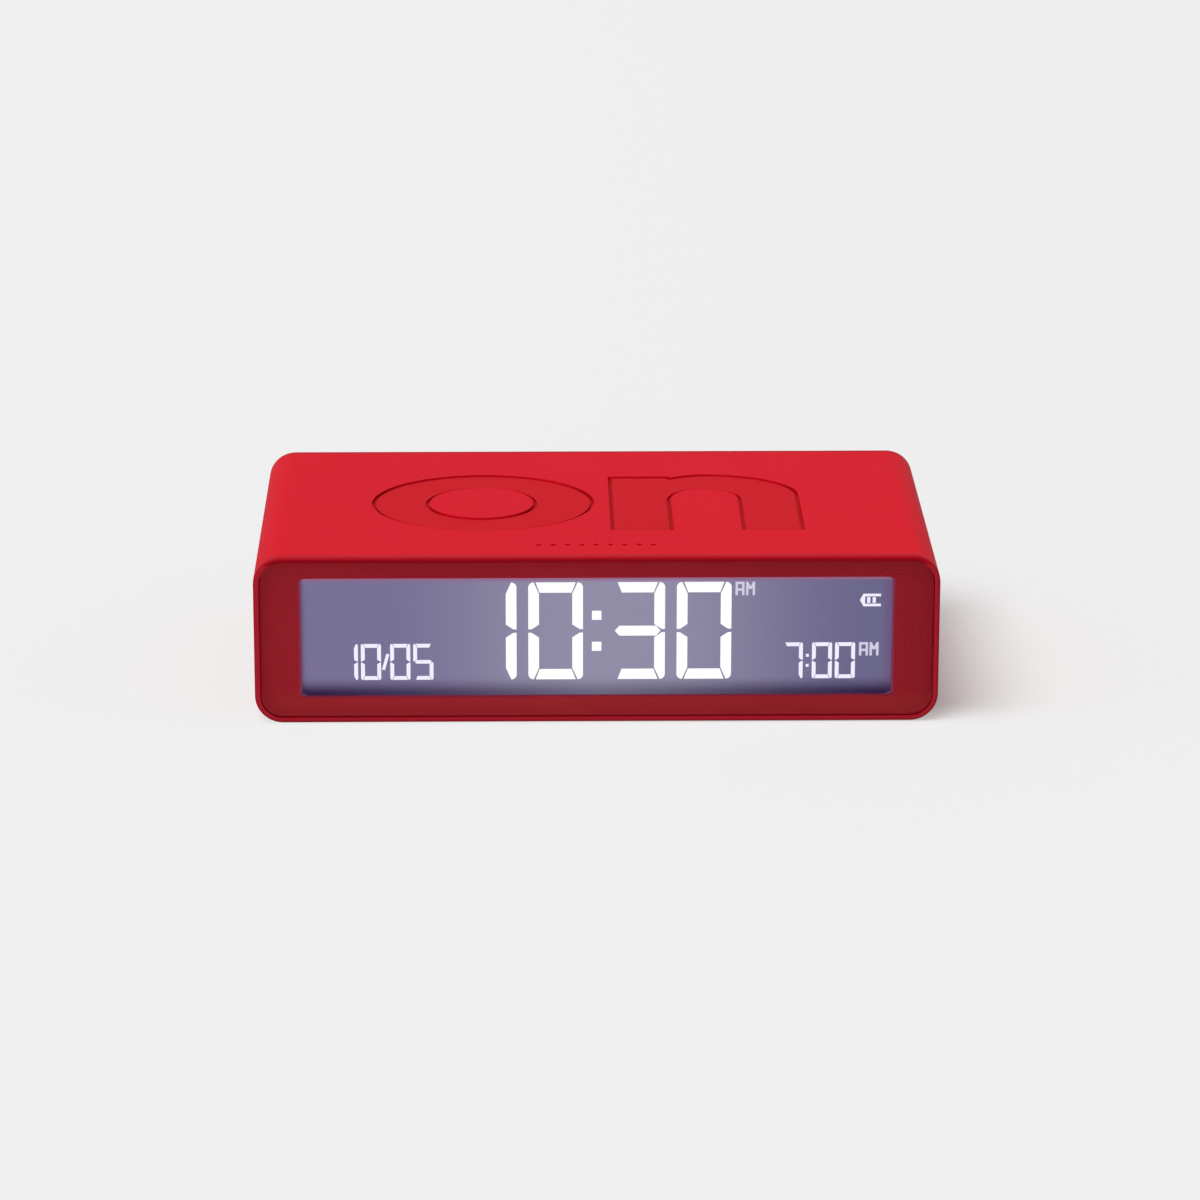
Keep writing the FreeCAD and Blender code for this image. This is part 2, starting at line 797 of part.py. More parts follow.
def battery_mark(left, bottom, width, height):
    """A small battery outline, pointed at its left and open at its right, with two charge bars."""
    thickness = 0.2 * height
    nose = left + 0.17 * width
    inner = left + 0.25 * width
    right = left + width
    top = bottom + height
    outline = flat([
        (left, bottom + 0.5 * height), (nose, bottom), (right, bottom), (right, bottom + thickness),
        (inner, bottom + thickness), (inner, top - thickness), (right, top - thickness), (right, top),
        (nose, top),
    ])
    bars = []
    for share in (0.42, 0.68):
        x = left + share * width
        bars.append(bar((x, bottom + 0.27 * height), (x, top - 0.27 * height), 0.15 * width))
    return [outline] + bars


def make_segments():
    """The lit strokes: time in the middle, date at the left and alarm time at the right."""
    tall = size.digit_height.value
    wide = size.digit_width.value
    stroke = size.digit_stroke.value
    low = mid_z.value + 0.3 * stroke - tall / 2
    step = wide + size.digit_space.value
    inner = size.colon_half_space.value
    faces = []
    for text, left in (("1", -inner - wide - step), ("0", -inner - wide), ("3", inner), ("0", inner + step)):
        faces += digit(text, left, low, wide, tall, stroke)
    for share in (0.34, 0.66):
        faces.append(square(0, low + share * tall, 0.88 * stroke))
    day_high = size.half_day_height.value
    day_wide = size.half_day_width.value
    space = size.small_digit_space.value
    faces += day_half(inner + step + wide + 1.3 * space, low + tall - day_high, day_wide, day_high)
    small = size.small_digit_height.value
    narrow = size.small_digit_width.value
    thin = size.small_digit_stroke.value
    small_step = narrow + space
    mark = size.small_mark_space.value
    left = size.small_text_inset.value - window_width.value / 2
    month_end = left + small_step + narrow
    for text, place in (("1", left), ("0", left + small_step)):
        faces += digit(text, place, low, narrow, small, thin)
    for text, place in (("0", month_end + mark), ("5", month_end + mark + small_step)):
        faces += digit(text, place, low, narrow, small, thin)
    slash_low = (month_end + 0.25 * mark, low + 0.28 * small)
    slash_high = (month_end + 0.75 * mark, low + 0.72 * small)
    faces.append(bar(slash_low, slash_high, 0.8 * thin))
    right = window_width.value / 2 - size.small_text_inset.value
    minute_start = right - narrow - small_step
    for text, place in (
        ("7", minute_start - mark - narrow),
        ("0", minute_start),
        ("0", minute_start + small_step),
    ):
        faces += digit(text, place, low, narrow, small, thin)
    for share in (0.36, 0.64):
        faces.append(square(minute_start - mark / 2, low + share * small, 0.75 * thin))
    mark_left = right + thin
    faces += day_half(mark_left, low + small - day_high, day_wide, day_high)
    faces += battery_mark(mark_left, low + 2 * small, 1.08 * day_wide, 0.93 * day_high)
    upward = FreeCAD.Vector(0, 0, size.segment_thickness.value)
    upright = FreeCAD.Rotation(FreeCAD.Vector(1, 0, 0), 90)
    stand = FreeCAD.Placement(FreeCAD.Vector(0, lip_rear.value, 0), upright)
    layer = [face.extrude(upward).transformed(stand.Matrix, copy=True) for face in faces]
    keep("lcd_segments", coded(Part.Compound(layer)))


def make_display_stack():
    """The layers of the display from its front film to the reflector on the board."""
    film_width = glass_width - 2 * size.film_margin
    film_height = glass_height - 2 * size.film_margin
    y = lip_rear

    def layer(name, width, height, thickness, start, z=mid_z):
        half_w, half_h = width / 2, height / 2
        keep(name, block((-half_w, half_w), (start, start + thickness), (z - half_h, z + half_h)))
        return start + thickness

    guide_width = window_width - 2 * size.guide_inset
    rear_height = glass_height - size.glass_ledge
    rear_z = mid_z + size.glass_ledge / 2
    y = layer("lcd_front_polariser", film_width, film_height, size.film_thickness, y)
    contact_y = y + size.glass_thickness
    y = layer("lcd_front_glass", glass_width, glass_height, size.glass_thickness, y)
    y = layer("lcd_rear_glass", glass_width, rear_height, size.glass_thickness, y, rear_z)
    rear_film = rear_height - 2 * size.film_margin
    y = layer("lcd_rear_polariser", film_width, rear_film, size.film_thickness, y, rear_z)
    y = layer("diffuser_film", guide_width, rear_film, size.film_thickness, y, rear_z)
    guide_thickness = board_front - size.reflector_thickness - y
    guide_end = guide_width / 2
    gap = size.film_margin / 2
    leds = []
    for side in (-1, 1):
        near, far = guide_end + gap, guide_end + gap + size.led_length
        span = (near, far) if side > 0 else (-far, -near)
        half = size.led_height / 2
        y_span = (board_front - guide_thickness, board_front)
        leds.append(block(span, y_span, (rear_z - half, rear_z + half)))
    keep("backlight_leds", group(*leds))
    y = layer("light_guide", guide_width, rear_film, guide_thickness, y, rear_z)
    layer("reflector_film", guide_width, rear_film, size.reflector_thickness, y, rear_z)
    strip_low = mid_z - glass_height / 2 + size.film_margin
    strip_high = strip_low + size.glass_ledge - 2 * size.film_margin
    half = guide_width / 2
    keep("zebra_strip", block((-half, half), (contact_y, board_front), (strip_low, strip_high)))


def make_display_board():
    """The main circuit board and what is soldered to its rear face."""
    width = 2 * inner_half_width - 2 * size.board_clearance
    height = inner_top - inner_bottom - 2 * size.board_clearance
    board = plate(width, height, inner_radius - size.board_clearance, (board_front, board_rear))
    hole = size.screw_diameter + 2 * size.hole_clearance
    holes = [rod("y", (board_front, board_rear), place, hole) for place in screw_places]
    keep("display_board", cut(board, *holes))
    blob = doc.addObject("Part::Cone", "Blob")
    blob.Placement = FreeCAD.Placement(FreeCAD.Vector(), AXIS_TURNS["y"])
    bind(blob, "Radius1", size.blob_diameter / 2)
    bind(blob, "Radius2", size.blob_diameter / 2 - size.blob_height)
    bind(blob, "Height", size.blob_height)
    for axis, place in (("x", -inner_half_width / 2), ("y", board_rear), ("z", mid_z)):
        bind(blob, f"Placement.Base.{axis}", place)
    keep("controller_chip", blob)
    crystal_y = board_rear + size.crystal_diameter / 2
    crystal_z = mid_z + size.blob_diameter / 2
    crystal_end = -size.foil_tail_width / 2 - size.crystal_diameter
    crystal_start = crystal_end - size.crystal_length
    can = rod("x", (crystal_start, crystal_end), (crystal_y, crystal_z), size.crystal_diameter)
    foot_half = size.crystal_diameter / 4
    foot = block(
        (crystal_end, crystal_end + 2 * foot_half),
        (board_rear, crystal_y),
        (crystal_z - foot_half, crystal_z + foot_half),
    )
    keep("quartz_crystal", fuse(can, foot))

    def chips(count, start_x, pitch, z, length, tall, deep):
        pieces = []
        for step in range(count):
            x = start_x + step * pitch
            span = (x - length / 2, x + length / 2)
            pieces.append(block(span, (board_rear, board_rear + tall), (z - deep / 2, z + deep / 2)))
        return group(*pieces)

    chip = size.board_thickness
    first_x = size.screw_inset_side * 3 - inner_half_width
    low_row = mid_z - size.blob_diameter * 0.6
    high_row = mid_z + size.blob_diameter * 0.65
    keep("chip_resistors", chips(6, first_x, 2.5 * chip, low_row, 1.4 * chip, 0.5 * chip, 0.7 * chip))
    keep("chip_capacitors", chips(4, first_x, 4 * chip, high_row, 1.7 * chip, 1.1 * chip, chip))


def make_touch_foils():
    """The two foils that feel a touch through the top and the bottom wall, each with its tail."""
    half = size.foil_width / 2
    tail = size.foil_tail_width / 2
    near = board_rear + size.foil_inset
    thin = size.foil_thickness
    for name, surface, inward in (
        ("touch_foil_upper", inner_top, -1),
        ("touch_foil_lower", inner_bottom, 1),
    ):
        inner = surface + inward * thin
        z_span = (inner, surface) if inward < 0 else (surface, inner)
        tail_end = surface + inward * size.foil_tail_length
        tail_span = (tail_end, surface) if inward < 0 else (surface, tail_end)
        sheet_piece = block((-half, half), (near, near + size.foil_depth), z_span)
        neck = block((-tail, tail), (board_rear, near), z_span)
        drop = block((-tail, tail), (board_rear, board_rear + thin), tail_span)
        keep(name, fuse(sheet_piece, neck, drop))


# Battery box, worked out from the cells and their contacts.
box_left = size.box_side_room - inner_half_width
box_right = box_left + box_length
cell_y = cover_rear - size.door_thickness - size.cell_diameter / 2 - size.cell_door_gap
box_low = mid_z - cell_room
box_high = mid_z + cell_room
box_floor = cell_y - cell_room / 2
cell_rows = (mid_z - size.cell_diameter / 2, mid_z + size.cell_diameter / 2)

# Battery door, in a rebate round the box's mouth, turning on its lower edge.
door_left = box_left - size.door_ledge
door_right = box_right + size.door_ledge
door_front = cover_rear - size.door_thickness
door_bottom = box_low + size.door_clearance
door_top = box_high - size.door_clearance
hinge_y = cover_rear - size.door_thickness / 2
hinge_z = door_bottom + size.door_thickness / 2

first_button = box_right + size.button_box_room
button_places = [first_button + step * size.button_pitch for step in range(len(BUTTON_NAMES))]
post_places = [first_button + share * size.button_pitch for share in (0.5, 3.5)]
button_z = mid_z + size.button_rise
post_z = button_z - size.post_drop
buzzer_place = (button_places[2], mid_z - size.buzzer_drop)
flange_front = cover_front - size.button_flange_height
stem_end = flange_front - size.button_stem_length
switch_rear = stem_end + size.button_stem_diameter / 3
switch_front = switch_rear - size.switch_height
button_board_front = switch_front - size.board_thickness


def make_rear_cover():
    """The back plate with the battery box, the button holes, posts and sound slots."""
    body = plate(plate_width, plate_height, plate_radius, (cover_front, cover_rear))
    round_edges(body, size.cover_edge, lambda box: lies_at(box.YMin, box.YMax, cover_rear))
    walls = block(
        (box_left - size.box_wall, box_right + size.box_wall),
        (box_floor - size.box_wall, cover_front),
        (box_low - size.box_wall, box_high + size.box_wall),
    )
    posts = [rod("y", (switch_front, cover_front), (x, post_z), size.post_diameter) for x in post_places]
    collar_span = (cover_front - size.buzzer_height / 2, cover_front)
    collar_bore = size.buzzer_diameter + 2 * size.hole_clearance
    collar = rod("y", collar_span, buzzer_place, collar_bore + 2 * size.buzzer_wall)
    tools = [
        block((box_left, box_right), (box_floor, cover_rear), (box_low, box_high)),
        block(
            (door_left - size.door_clearance, door_right + size.door_clearance),
            (door_front, cover_rear),
            (box_low, box_high),
        ),
        rod("y", collar_span, buzzer_place, collar_bore),
    ]
    pin_end = size.hinge_pin_length + 2 * size.hinge_clearance
    pin_hole = size.hinge_pin_diameter + 2 * size.hinge_clearance
    tools.append(rod("x", (door_left - pin_end, door_right + pin_end), (hinge_y, hinge_z), pin_hole))
    for x in button_places:
        hole = size.button_diameter + 2 * size.button_clearance
        tools.append(rod("y", (cover_front, cover_rear), (x, button_z), hole))
    seat = cover_rear - size.screw_head_height
    for place in screw_places:
        tools.append(rod("y", (cover_front, seat), place, size.screw_diameter + 2 * size.hole_clearance))
        tools.append(rod("y", (seat, cover_rear), place, size.screw_head_diameter + 2 * size.hole_clearance))
    pilot = size.screw_diameter + 2 * size.screw_clearance
    post_hole_end = switch_front + size.post_grip + size.screw_tip_gap
    for x in post_places:
        tools.append(rod("y", (switch_front, post_hole_end), (x, post_z), pilot))
    slot_reach = size.buzzer_diameter / 2 - size.buzzer_wall
    for step in range(-2, 3):
        x = buzzer_place[0] + step * size.slot_pitch
        reach = slot_reach - abs(step) * size.slot_width
        half = size.slot_width / 2
        z_span = (buzzer_place[1] - reach, buzzer_place[1] + reach)
        tools.append(block((x - half, x + half), (cover_front, cover_rear), z_span))
    tab = size.contact_tab_width / 2 + size.hole_clearance
    for z in cell_rows:
        span = (box_right - size.contact_thickness - size.hole_clearance, box_right)
        tools.append(block(span, (box_floor - size.box_wall, box_floor), (z - tab, z + tab)))
    keep("rear_cover", cut(fuse(body, walls, *posts, collar), *tools))
    screws = []
    for x, z in screw_places:
        screws.append(screw(x, z, cover_rear, cover_front - size.screw_grip, -1))
    keep("rear_cover_screws", group(*screws))


def make_battery_door():
    """The door: flat panel with a full round lower edge, two hinge pins and a thumb scoop."""
    body = doc.addObject("PartDesign::Body", "DoorPanel")
    sketch = body.newObject("Sketcher::SketchObject", "Outline")
    sketch.AttachmentSupport = [(plane(body, "YZ_Plane"), "")]
    sketch.MapMode = "FlatFace"
    bind(sketch, "AttachmentOffset.Base.x", hinge_y)
    bind(sketch, "AttachmentOffset.Base.y", hinge_z)
    bind(sketch, "AttachmentOffset.Base.z", door_left)
    radius = size.door_thickness / 2
    rise = door_top - hinge_z
    circle = Part.Circle(FreeCAD.Vector(), FreeCAD.Vector(0, 0, 1), radius.value)
    heel = sketch.addGeometry(Part.ArcOfCircle(circle, math.pi, 2 * math.pi), False)
    half_thick = radius.value
    high = rise.value
    corners = [(half_thick, 0), (half_thick, high), (-half_thick, high), (-half_thick, 0)]
    points = [FreeCAD.Vector(*corner, 0) for corner in corners]
    outer, top, inner = [
        sketch.addGeometry(Part.LineSegment(start, end), False) for start, end in zip(points, points[1:])
    ]
    sketch.addConstraint([
        Sketcher.Constraint("Coincident", heel, 3, -1, 1),
        Sketcher.Constraint("Tangent", heel, 2, outer, 1),
        Sketcher.Constraint("Coincident", outer, 2, top, 1),
        Sketcher.Constraint("Coincident", top, 2, inner, 1),
        Sketcher.Constraint("Tangent", inner, 2, heel, 1),
        Sketcher.Constraint("Vertical", outer),
        Sketcher.Constraint("Horizontal", top),
    ])
    name_size(sketch, Sketcher.Constraint("Radius", heel, radius.value), "heel_radius", radius)
    name_size(sketch, Sketcher.Constraint("DistanceY", outer, 1, outer, 2, rise.value), "rise", rise)
    pad(body, sketch, door_right - door_left)

    def outer_edges(box):
        on_face = lies_at(box.YMin, box.YMax, cover_rear)
        upright = box.ZMax - box.ZMin > rise.value / 2
        return on_face and (upright or lies_at(box.ZMin, box.ZMax, door_top))

    round_edges(body, size.door_edge, outer_edges)
    pin = rod(
        "x",
        (door_left - size.hinge_pin_length, door_right + size.hinge_pin_length),
        (hinge_y, hinge_z),
        size.hinge_pin_diameter,
    )
    scoop_x = (door_left + door_right) / 2
    scoop_half = size.cell_diameter * 0.7
    scoop_wide = 2 * size.cell_diameter
    scoop_y = cover_rear + scoop_wide / 2 - size.door_thickness * 0.45
    scoop_z = door_top - size.cell_diameter * 0.35
    scoop = rod("x", (scoop_x - scoop_half, scoop_x + scoop_half), (scoop_y, scoop_z), scoop_wide)
    keep("battery_door", cut(fuse(body, pin), scoop))
    half = size.pad_length / 2
    z_half = size.pad_width / 2
    keep("door_foam_pad", block(
        (scoop_x - half, scoop_x + half),
        (door_front - size.pad_thickness, door_front),
        (mid_z - z_half, mid_z + z_half),
    ))


def make_cells():
    """Two cells in series, the lower one pointing right and the upper one left."""
    left_stop = box_left + size.contact_thickness
    right_stop = box_right - size.contact_thickness
    for name, z, stop, way in (
        ("battery_cell_lower", cell_rows[0], right_stop, -1),
        ("battery_cell_upper", cell_rows[1], left_stop, 1),
    ):
        neck = stop + way * size.cell_nub_length
        far = stop + way * size.cell_length
        can_span = (far, neck) if way < 0 else (neck, far)
        nub_span = (neck, stop) if way < 0 else (stop, neck)
        gap = 2 * size.screw_clearance
        can = rod("x", can_span, (cell_y, z), size.cell_diameter - gap)
        nub = rod("x", nub_span, (cell_y, z), size.cell_nub_diameter)
        keep(name, fuse(can, nub))


def arc_pair(start, start_way, end, end_way):
    """Two arcs that join smoothly and leave both ends along the given unit directions."""
    chord = end - start
    both = start_way + end_way
    a = 2 * start_way.dot(end_way) - 2
    b = -2 * chord.dot(both)
    reach = (-b - math.sqrt(b * b - 4 * a * chord.dot(chord))) / (2 * a)
    first = start + start_way * reach
    second = end - end_way * reach
    joint = (first + second) * 0.5
    arcs = []
    for near, corner, far in ((start, first, joint), (joint, second, end)):
        middle = (near + far) * 0.5
        half = (far - near).Length / 2
        turn = math.acos(min(1.0, half / (corner - near).Length))
        crown = middle + (corner - middle).normalize() * (half * math.tan(turn / 2))
        arcs.append(Part.Arc(near, crown, far).toShape())
    return arcs


def coil(x_start, x_end, y, z):
    """A battery spring that narrows from its plate to the cell, with short straight ends."""
    wire = size.spring_wire.value
    way = 1 if x_end > x_start else -1
    base = size.spring_base_diameter.value / 2 - wire / 2
    tip = size.spring_tip_diameter.value / 2 - wire / 2
    climb = abs(x_end - x_start) - wire
    turns = size.spring_turns.value
    end_angle = 2 * math.pi * turns

    def point(angle):
        share = angle / end_angle
        radius = base + (tip - base) * share
        x = x_start + way * (wire / 2 + climb * share)
        return FreeCAD.Vector(x, y + radius * math.cos(angle), z + radius * math.sin(angle))

    def heading(angle):
        step = 1e-4
        return (point(angle + step) - point(angle - step)).normalize()

    quarters = round(4 * turns)
    angles = [end_angle * step / quarters for step in range(quarters + 1)]
    edges = []
    for low, high in zip(angles, angles[1:]):
        edges += arc_pair(point(low), heading(low), point(high), heading(high))
    first = Part.LineSegment(point(0) - heading(0) * wire, point(0)).toShape()
    last = Part.LineSegment(point(end_angle), point(end_angle) + heading(end_angle) * wire).toShape()
    path = Part.Wire([first] + edges + [last])
    section = Part.Wire(Part.makeCircle(wire / 2, point(0) - heading(0) * wire, heading(0)))
    samples = 24 * quarters
    places = [point(end_angle * step / samples) for step in range(samples + 1)]
    skip = samples // (2 * max(1, round(turns)))
    least = min(
        (places[i] - places[j]).Length for i in range(samples + 1) for j in range(i + skip, samples + 1)
    )
    print("spring gap to itself", round(least - wire, 3))
    return path.makePipeShell([section], True, False)


def make_contacts():
    """Contact plates at both ends of the box, with the springs that press the cells."""
    half = size.contact_width / 2
    thin = size.contact_thickness
    left_face = box_left + thin
    right_face = box_right - thin
    y_span = (cell_y - half, cell_y + half)
    y = cell_y.value
    lower, upper = cell_rows
    spring_reach = size.spring_length.value - size.spring_wire.value / 4
    link = block((box_left, left_face), y_span, (lower - half, upper + half))
    left_x = left_face.value
    left_spring = coded(coil(left_x, left_x + spring_reach, y, lower.value))
    keep("link_contact", fuse(link, left_spring))
    tab_half = size.contact_tab_width / 2
    plates = []
    for z in cell_rows:
        leaf = block((right_face, box_right), y_span, (z - half, z + half))
        tab_span = (box_floor - size.box_wall - size.contact_tab_reach, y_span[0])
        tab = block((right_face, box_right), tab_span, (z - tab_half, z + tab_half))
        plates.append(fuse(leaf, tab))
    keep("positive_contact", plates[0])
    right_x = right_face.value
    right_spring = coded(coil(right_x, right_x - spring_reach, y, upper.value))
    keep("negative_contact", fuse(plates[1], right_spring))


def glyph(name, x, z):
    """The shallow sign on a button's face, drawn from bars and dots."""
    top = cover_rear + size.button_proud
    y_span = (top - size.glyph_depth, top)
    long_half = size.button_diameter * 0.2
    thin = size.button_diameter * 0.045

    def level():
        return block((x - long_half, x + long_half), y_span, (z - thin, z + thin))

    def upright():
        return block((x - thin, x + thin), y_span, (z - long_half, z + long_half))

    def dot():
        return rod("y", y_span, (x, z), 2 * thin + long_half / 2)

    def ring():
        inner = rod("y", y_span, (x, z), 2 * long_half - 3 * thin)
        return cut(rod("y", y_span, (x, z), 2 * long_half), inner)

    signs = {
        "minus_button": (level,),
        "plus_button": (level, upright),
        "mode_button": (ring,),
        "set_button": (dot,),
        "light_button": (ring, dot),
    }
    return [draw() for draw in signs[name]]


def make_button(name, x):
    """A round cap with a retaining flange and the stem that presses its switch."""
    body = doc.addObject("PartDesign::Body", "ButtonBody")
    z = button_z
    top = cover_rear + size.button_proud
    flange_wide = size.button_diameter + 2 * size.button_flange
    for start, end, diameter in (
        (cover_front, top, size.button_diameter),
        (flange_front, cover_front, flange_wide),
        (stem_end, flange_front, size.button_stem_diameter),
    ):
        sketch = sketch_across_depth(body, end, x, z)
        draw_circle(sketch, as_length(diameter))
        pad(body, sketch, end - start)
    round_edges(body, size.button_edge, lambda box: lies_at(box.YMin, box.YMax, top))
    keep(name, cut(body, *glyph(name, x, z)))


def make_button_board():
    """The small board behind the buttons with its five switches and two screws."""
    margin = size.switch_width / 2 + size.hole_clearance
    left = button_places[0] - margin - size.post_diameter / 3
    right = button_places[-1] + margin + size.post_diameter / 3
    low = post_z - size.post_diameter / 2
    high = button_z + margin + size.post_diameter / 3
    board = block((left, right), (button_board_front, switch_front), (low, high))
    holes = []
    screws = []
    head_face = button_board_front - size.screw_head_height
    for x in post_places:
        wide = size.screw_diameter + 2 * size.hole_clearance
        holes.append(rod("y", (button_board_front, switch_front), (x, post_z), wide))
        screws.append(screw(x, post_z, head_face, switch_front + size.post_grip, 1))
    pin_hole = size.lead_diameter * 0.75 + 2 * size.screw_clearance
    for x, z in tilt_pin_places:
        holes.append(rod("y", (button_board_front, switch_front), (x, z), pin_hole))
    keep("button_board", cut(board, *holes))
    keep("button_board_screws", group(*screws))
    switches = []
    half = size.switch_width / 2
    z = button_z
    well_floor = stem_end - size.button_travel - size.button_clearance
    for x in button_places:
        case = block((x - half, x + half), (switch_front, switch_rear), (z - half, z + half))
        well = size.button_stem_diameter + 2 * size.button_clearance
        switches.append(cut(case, rod("y", (well_floor, switch_rear), (x, z), well)))
    keep("button_switches", group(*switches))


def make_buzzer():
    """The sounder behind the slots: cup, base with its pole, coil and sprung disc."""
    place = buzzer_place
    wide = size.buzzer_diameter
    front = cover_front - size.buzzer_height
    base_rear = front + size.buzzer_height * 0.24
    ledge = cover_front - size.buzzer_height * 0.33
    roof = cover_front - size.buzzer_wall
    bore = wide - 2 * size.buzzer_wall
    disc = bore - 2 * size.hole_clearance
    shell = rod("y", (base_rear, cover_front), place, wide)
    keep("buzzer_case", cut(
        shell,
        rod("y", (base_rear, ledge), place, bore - 2 * size.buzzer_wall),
        rod("y", (ledge, roof), place, bore),
        rod("y", (roof, cover_front), place, wide / 4),
    ))
    pole_wide = wide * 0.18
    pole_end = ledge - size.hole_clearance
    keep("buzzer_base", fuse(
        rod("y", (front, base_rear), place, wide),
        rod("y", (base_rear, pole_end), place, pole_wide),
    ))
    coil_end = pole_end - size.hole_clearance
    winding = rod("y", (base_rear, coil_end), place, wide * 0.55)
    core = rod("y", (base_rear, coil_end), place, pole_wide + 2 * size.screw_clearance)
    keep("buzzer_coil", cut(winding, core))
    keep("buzzer_disc", rod("y", (ledge, ledge + size.hole_clearance), place, disc))


tilt_width = size.tilt_ball_diameter + 2 * size.tilt_clearance + 2 * size.tilt_wall
tilt_rear = button_board_front
tilt_front = tilt_rear - tilt_width
tilt_mid_y = tilt_rear - tilt_width / 2
tilt_x = button_places[3] - size.tilt_aside
tilt_base = mid_z + size.tilt_rise
tilt_floor = tilt_base + size.tilt_wall
tilt_roof = tilt_floor + size.tilt_ball_diameter + size.tilt_travel + 2 * size.tilt_clearance
tilt_pin_places = [(tilt_x, tilt_floor), (tilt_x, tilt_roof - size.tilt_wall)]


def make_tilt_switch():
    """The switch that feels which face is up: a ball that falls from one end to the other."""
    half = tilt_width / 2
    x_span = (tilt_x - half, tilt_x + half)
    case = block(x_span, (tilt_front, tilt_rear), (tilt_base, tilt_roof))
    bore_wide = size.tilt_ball_diameter + 2 * size.tilt_clearance
    bore = rod("z", (tilt_floor, tilt_roof), (tilt_x, tilt_mid_y), bore_wide)
    keep("tilt_switch_case", cut(case, bore))
    keep("tilt_switch_cap", block(x_span, (tilt_front, tilt_rear), (tilt_roof, tilt_roof + size.tilt_wall)))
    ball = doc.addObject("Part::Sphere", "Ball")
    bind(ball, "Radius", size.tilt_ball_diameter / 2)
    bind(ball, "Placement.Base.x", tilt_x)
    bind(ball, "Placement.Base.y", tilt_mid_y)
    bind(ball, "Placement.Base.z", tilt_floor + size.tilt_clearance + size.tilt_ball_diameter / 2)
    keep("tilt_ball", ball)
    pins = []
    for place in tilt_pin_places:
        pins.append(rod("y", (tilt_rear, switch_front), place, size.lead_diameter * 0.75))
    keep("tilt_switch_pins", group(*pins))


def rounded_path(points):
    """Straight runs between points, joined by tangent arcs as large as the runs allow."""
    edges = []
    radii = []
    start = points[0]
    for before, corner, after in zip(points, points[1:], points[2:]):
        incoming = (corner - before).normalize()
        outgoing = (after - corner).normalize()
        turn = incoming.getAngle(outgoing)
        trim = 0.45 * min((corner - before).Length, (after - corner).Length)
        radius = trim / math.tan(turn / 2)
        inner = (outgoing - incoming).normalize()
        arc_start = corner - incoming * trim
        arc_end = corner + outgoing * trim
        crown = corner + inner * (radius / math.cos(turn / 2) - radius)
        edges.append(Part.LineSegment(start, arc_start).toShape())
        edges.append(Part.Arc(arc_start, crown, arc_end).toShape())
        radii.append(round(radius, 1))
        start = arc_end
    edges.append(Part.LineSegment(start, points[-1]).toShape())
    return Part.Wire(edges), radii


def vectors(places):
    return [FreeCAD.Vector(*(as_length(number).value for number in place)) for place in places]


def lead(places, diameter):
    """A round wire along a route of straight runs and tangent arcs."""
    points = vectors(places)
    path, radii = rounded_path(points)
    section = Part.Wire(Part.makeCircle(diameter.value / 2, points[0], points[1] - points[0]))
    solid = path.makePipeShell([section], True, False)
    expected = math.pi * (diameter.value / 2) ** 2 * path.Length
    print("lead radii", radii, "volume ratio", round(solid.Volume / expected, 4))
    return solid


def make_leads():
    """Wires from the battery box and the buzzer, and the ribbon between the two boards."""
    tab_end = box_floor - size.box_wall - size.contact_tab_reach
    tab_x = box_right - size.contact_thickness / 2
    span = tab_end - board_rear
    lower, upper = cell_rows
    for name, z, aside, rise in (
        ("battery_lead_red", lower, size.red_lead_aside, size.red_lead_rise),
        ("battery_lead_black", upper, size.black_lead_aside, size.black_lead_rise),
    ):
        route = [
            (tab_x, tab_end, z),
            (tab_x, tab_end - span * 0.3, z),
            (tab_x + aside, tab_end - span * 0.66, z + rise),
            (tab_x + aside, board_rear, z + rise),
        ]
        keep(name, coded(lead(route, size.lead_diameter)))
    front = cover_front - size.buzzer_height
    bow = front - size.buzzer_lead_bow
    solder_z = post_z - size.lead_diameter / 2
    wires = []
    for side in (-1, 1):
        x = buzzer_place[0] + side * size.buzzer_lead_spread / 2
        route = [
            (x, front, buzzer_place[1]),
            (x, bow, buzzer_place[1]),
            (x, bow, solder_z),
            (x, button_board_front, solder_z),
        ]
        wires.append(coded(lead(route, size.lead_diameter)))
    keep("buzzer_leads", group(*wires))
    ribbon_x = button_places[1]
    ribbon_z = button_z
    reach = button_board_front - board_rear
    route = vectors([
        (ribbon_x, button_board_front, ribbon_z),
        (ribbon_x, button_board_front - reach * 0.34, ribbon_z),
        (ribbon_x, button_board_front - reach * 0.68, ribbon_z - size.ribbon_drop),
        (ribbon_x, board_rear, ribbon_z - size.ribbon_drop),
    ])
    path, radii = rounded_path(route)
    wide = size.ribbon_width.value / 2
    thin = size.ribbon_thickness.value / 2
    corners = [(-wide, -thin), (wide, -thin), (wide, thin), (-wide, thin)]
    outline = [route[0] + FreeCAD.Vector(x, 0, z) for x, z in corners]
    section = Part.makePolygon(outline + outline[:1])
    print("ribbon radii", radii)
    keep("ribbon_cable", coded(path.makePipeShell([section], True, False)))


def check_parts():
    """Stops if any object of the document failed or a sub-part is not sound."""
    for item in doc.Objects:
        if "Invalid" in item.State or "Error" in item.State:
            raise RuntimeError(f"{item.Label} did not build: {item.State}")
    for name, thing in parts.items():
        if thing.Shape.isNull() or not thing.Shape.isValid() or not thing.Shape.Solids:
            raise RuntimeError(f"{name} is not a sound solid")


make_sleeve()
make_lens()
make_display_holder()
make_segments()
make_display_stack()
make_display_board()
make_touch_foils()
make_rear_cover()
make_battery_door()
make_cells()
make_contacts()
for button_name, button_x in zip(BUTTON_NAMES, button_places):
    make_button(button_name, button_x)
make_button_board()
make_buzzer()
make_tilt_switch()
make_leads()

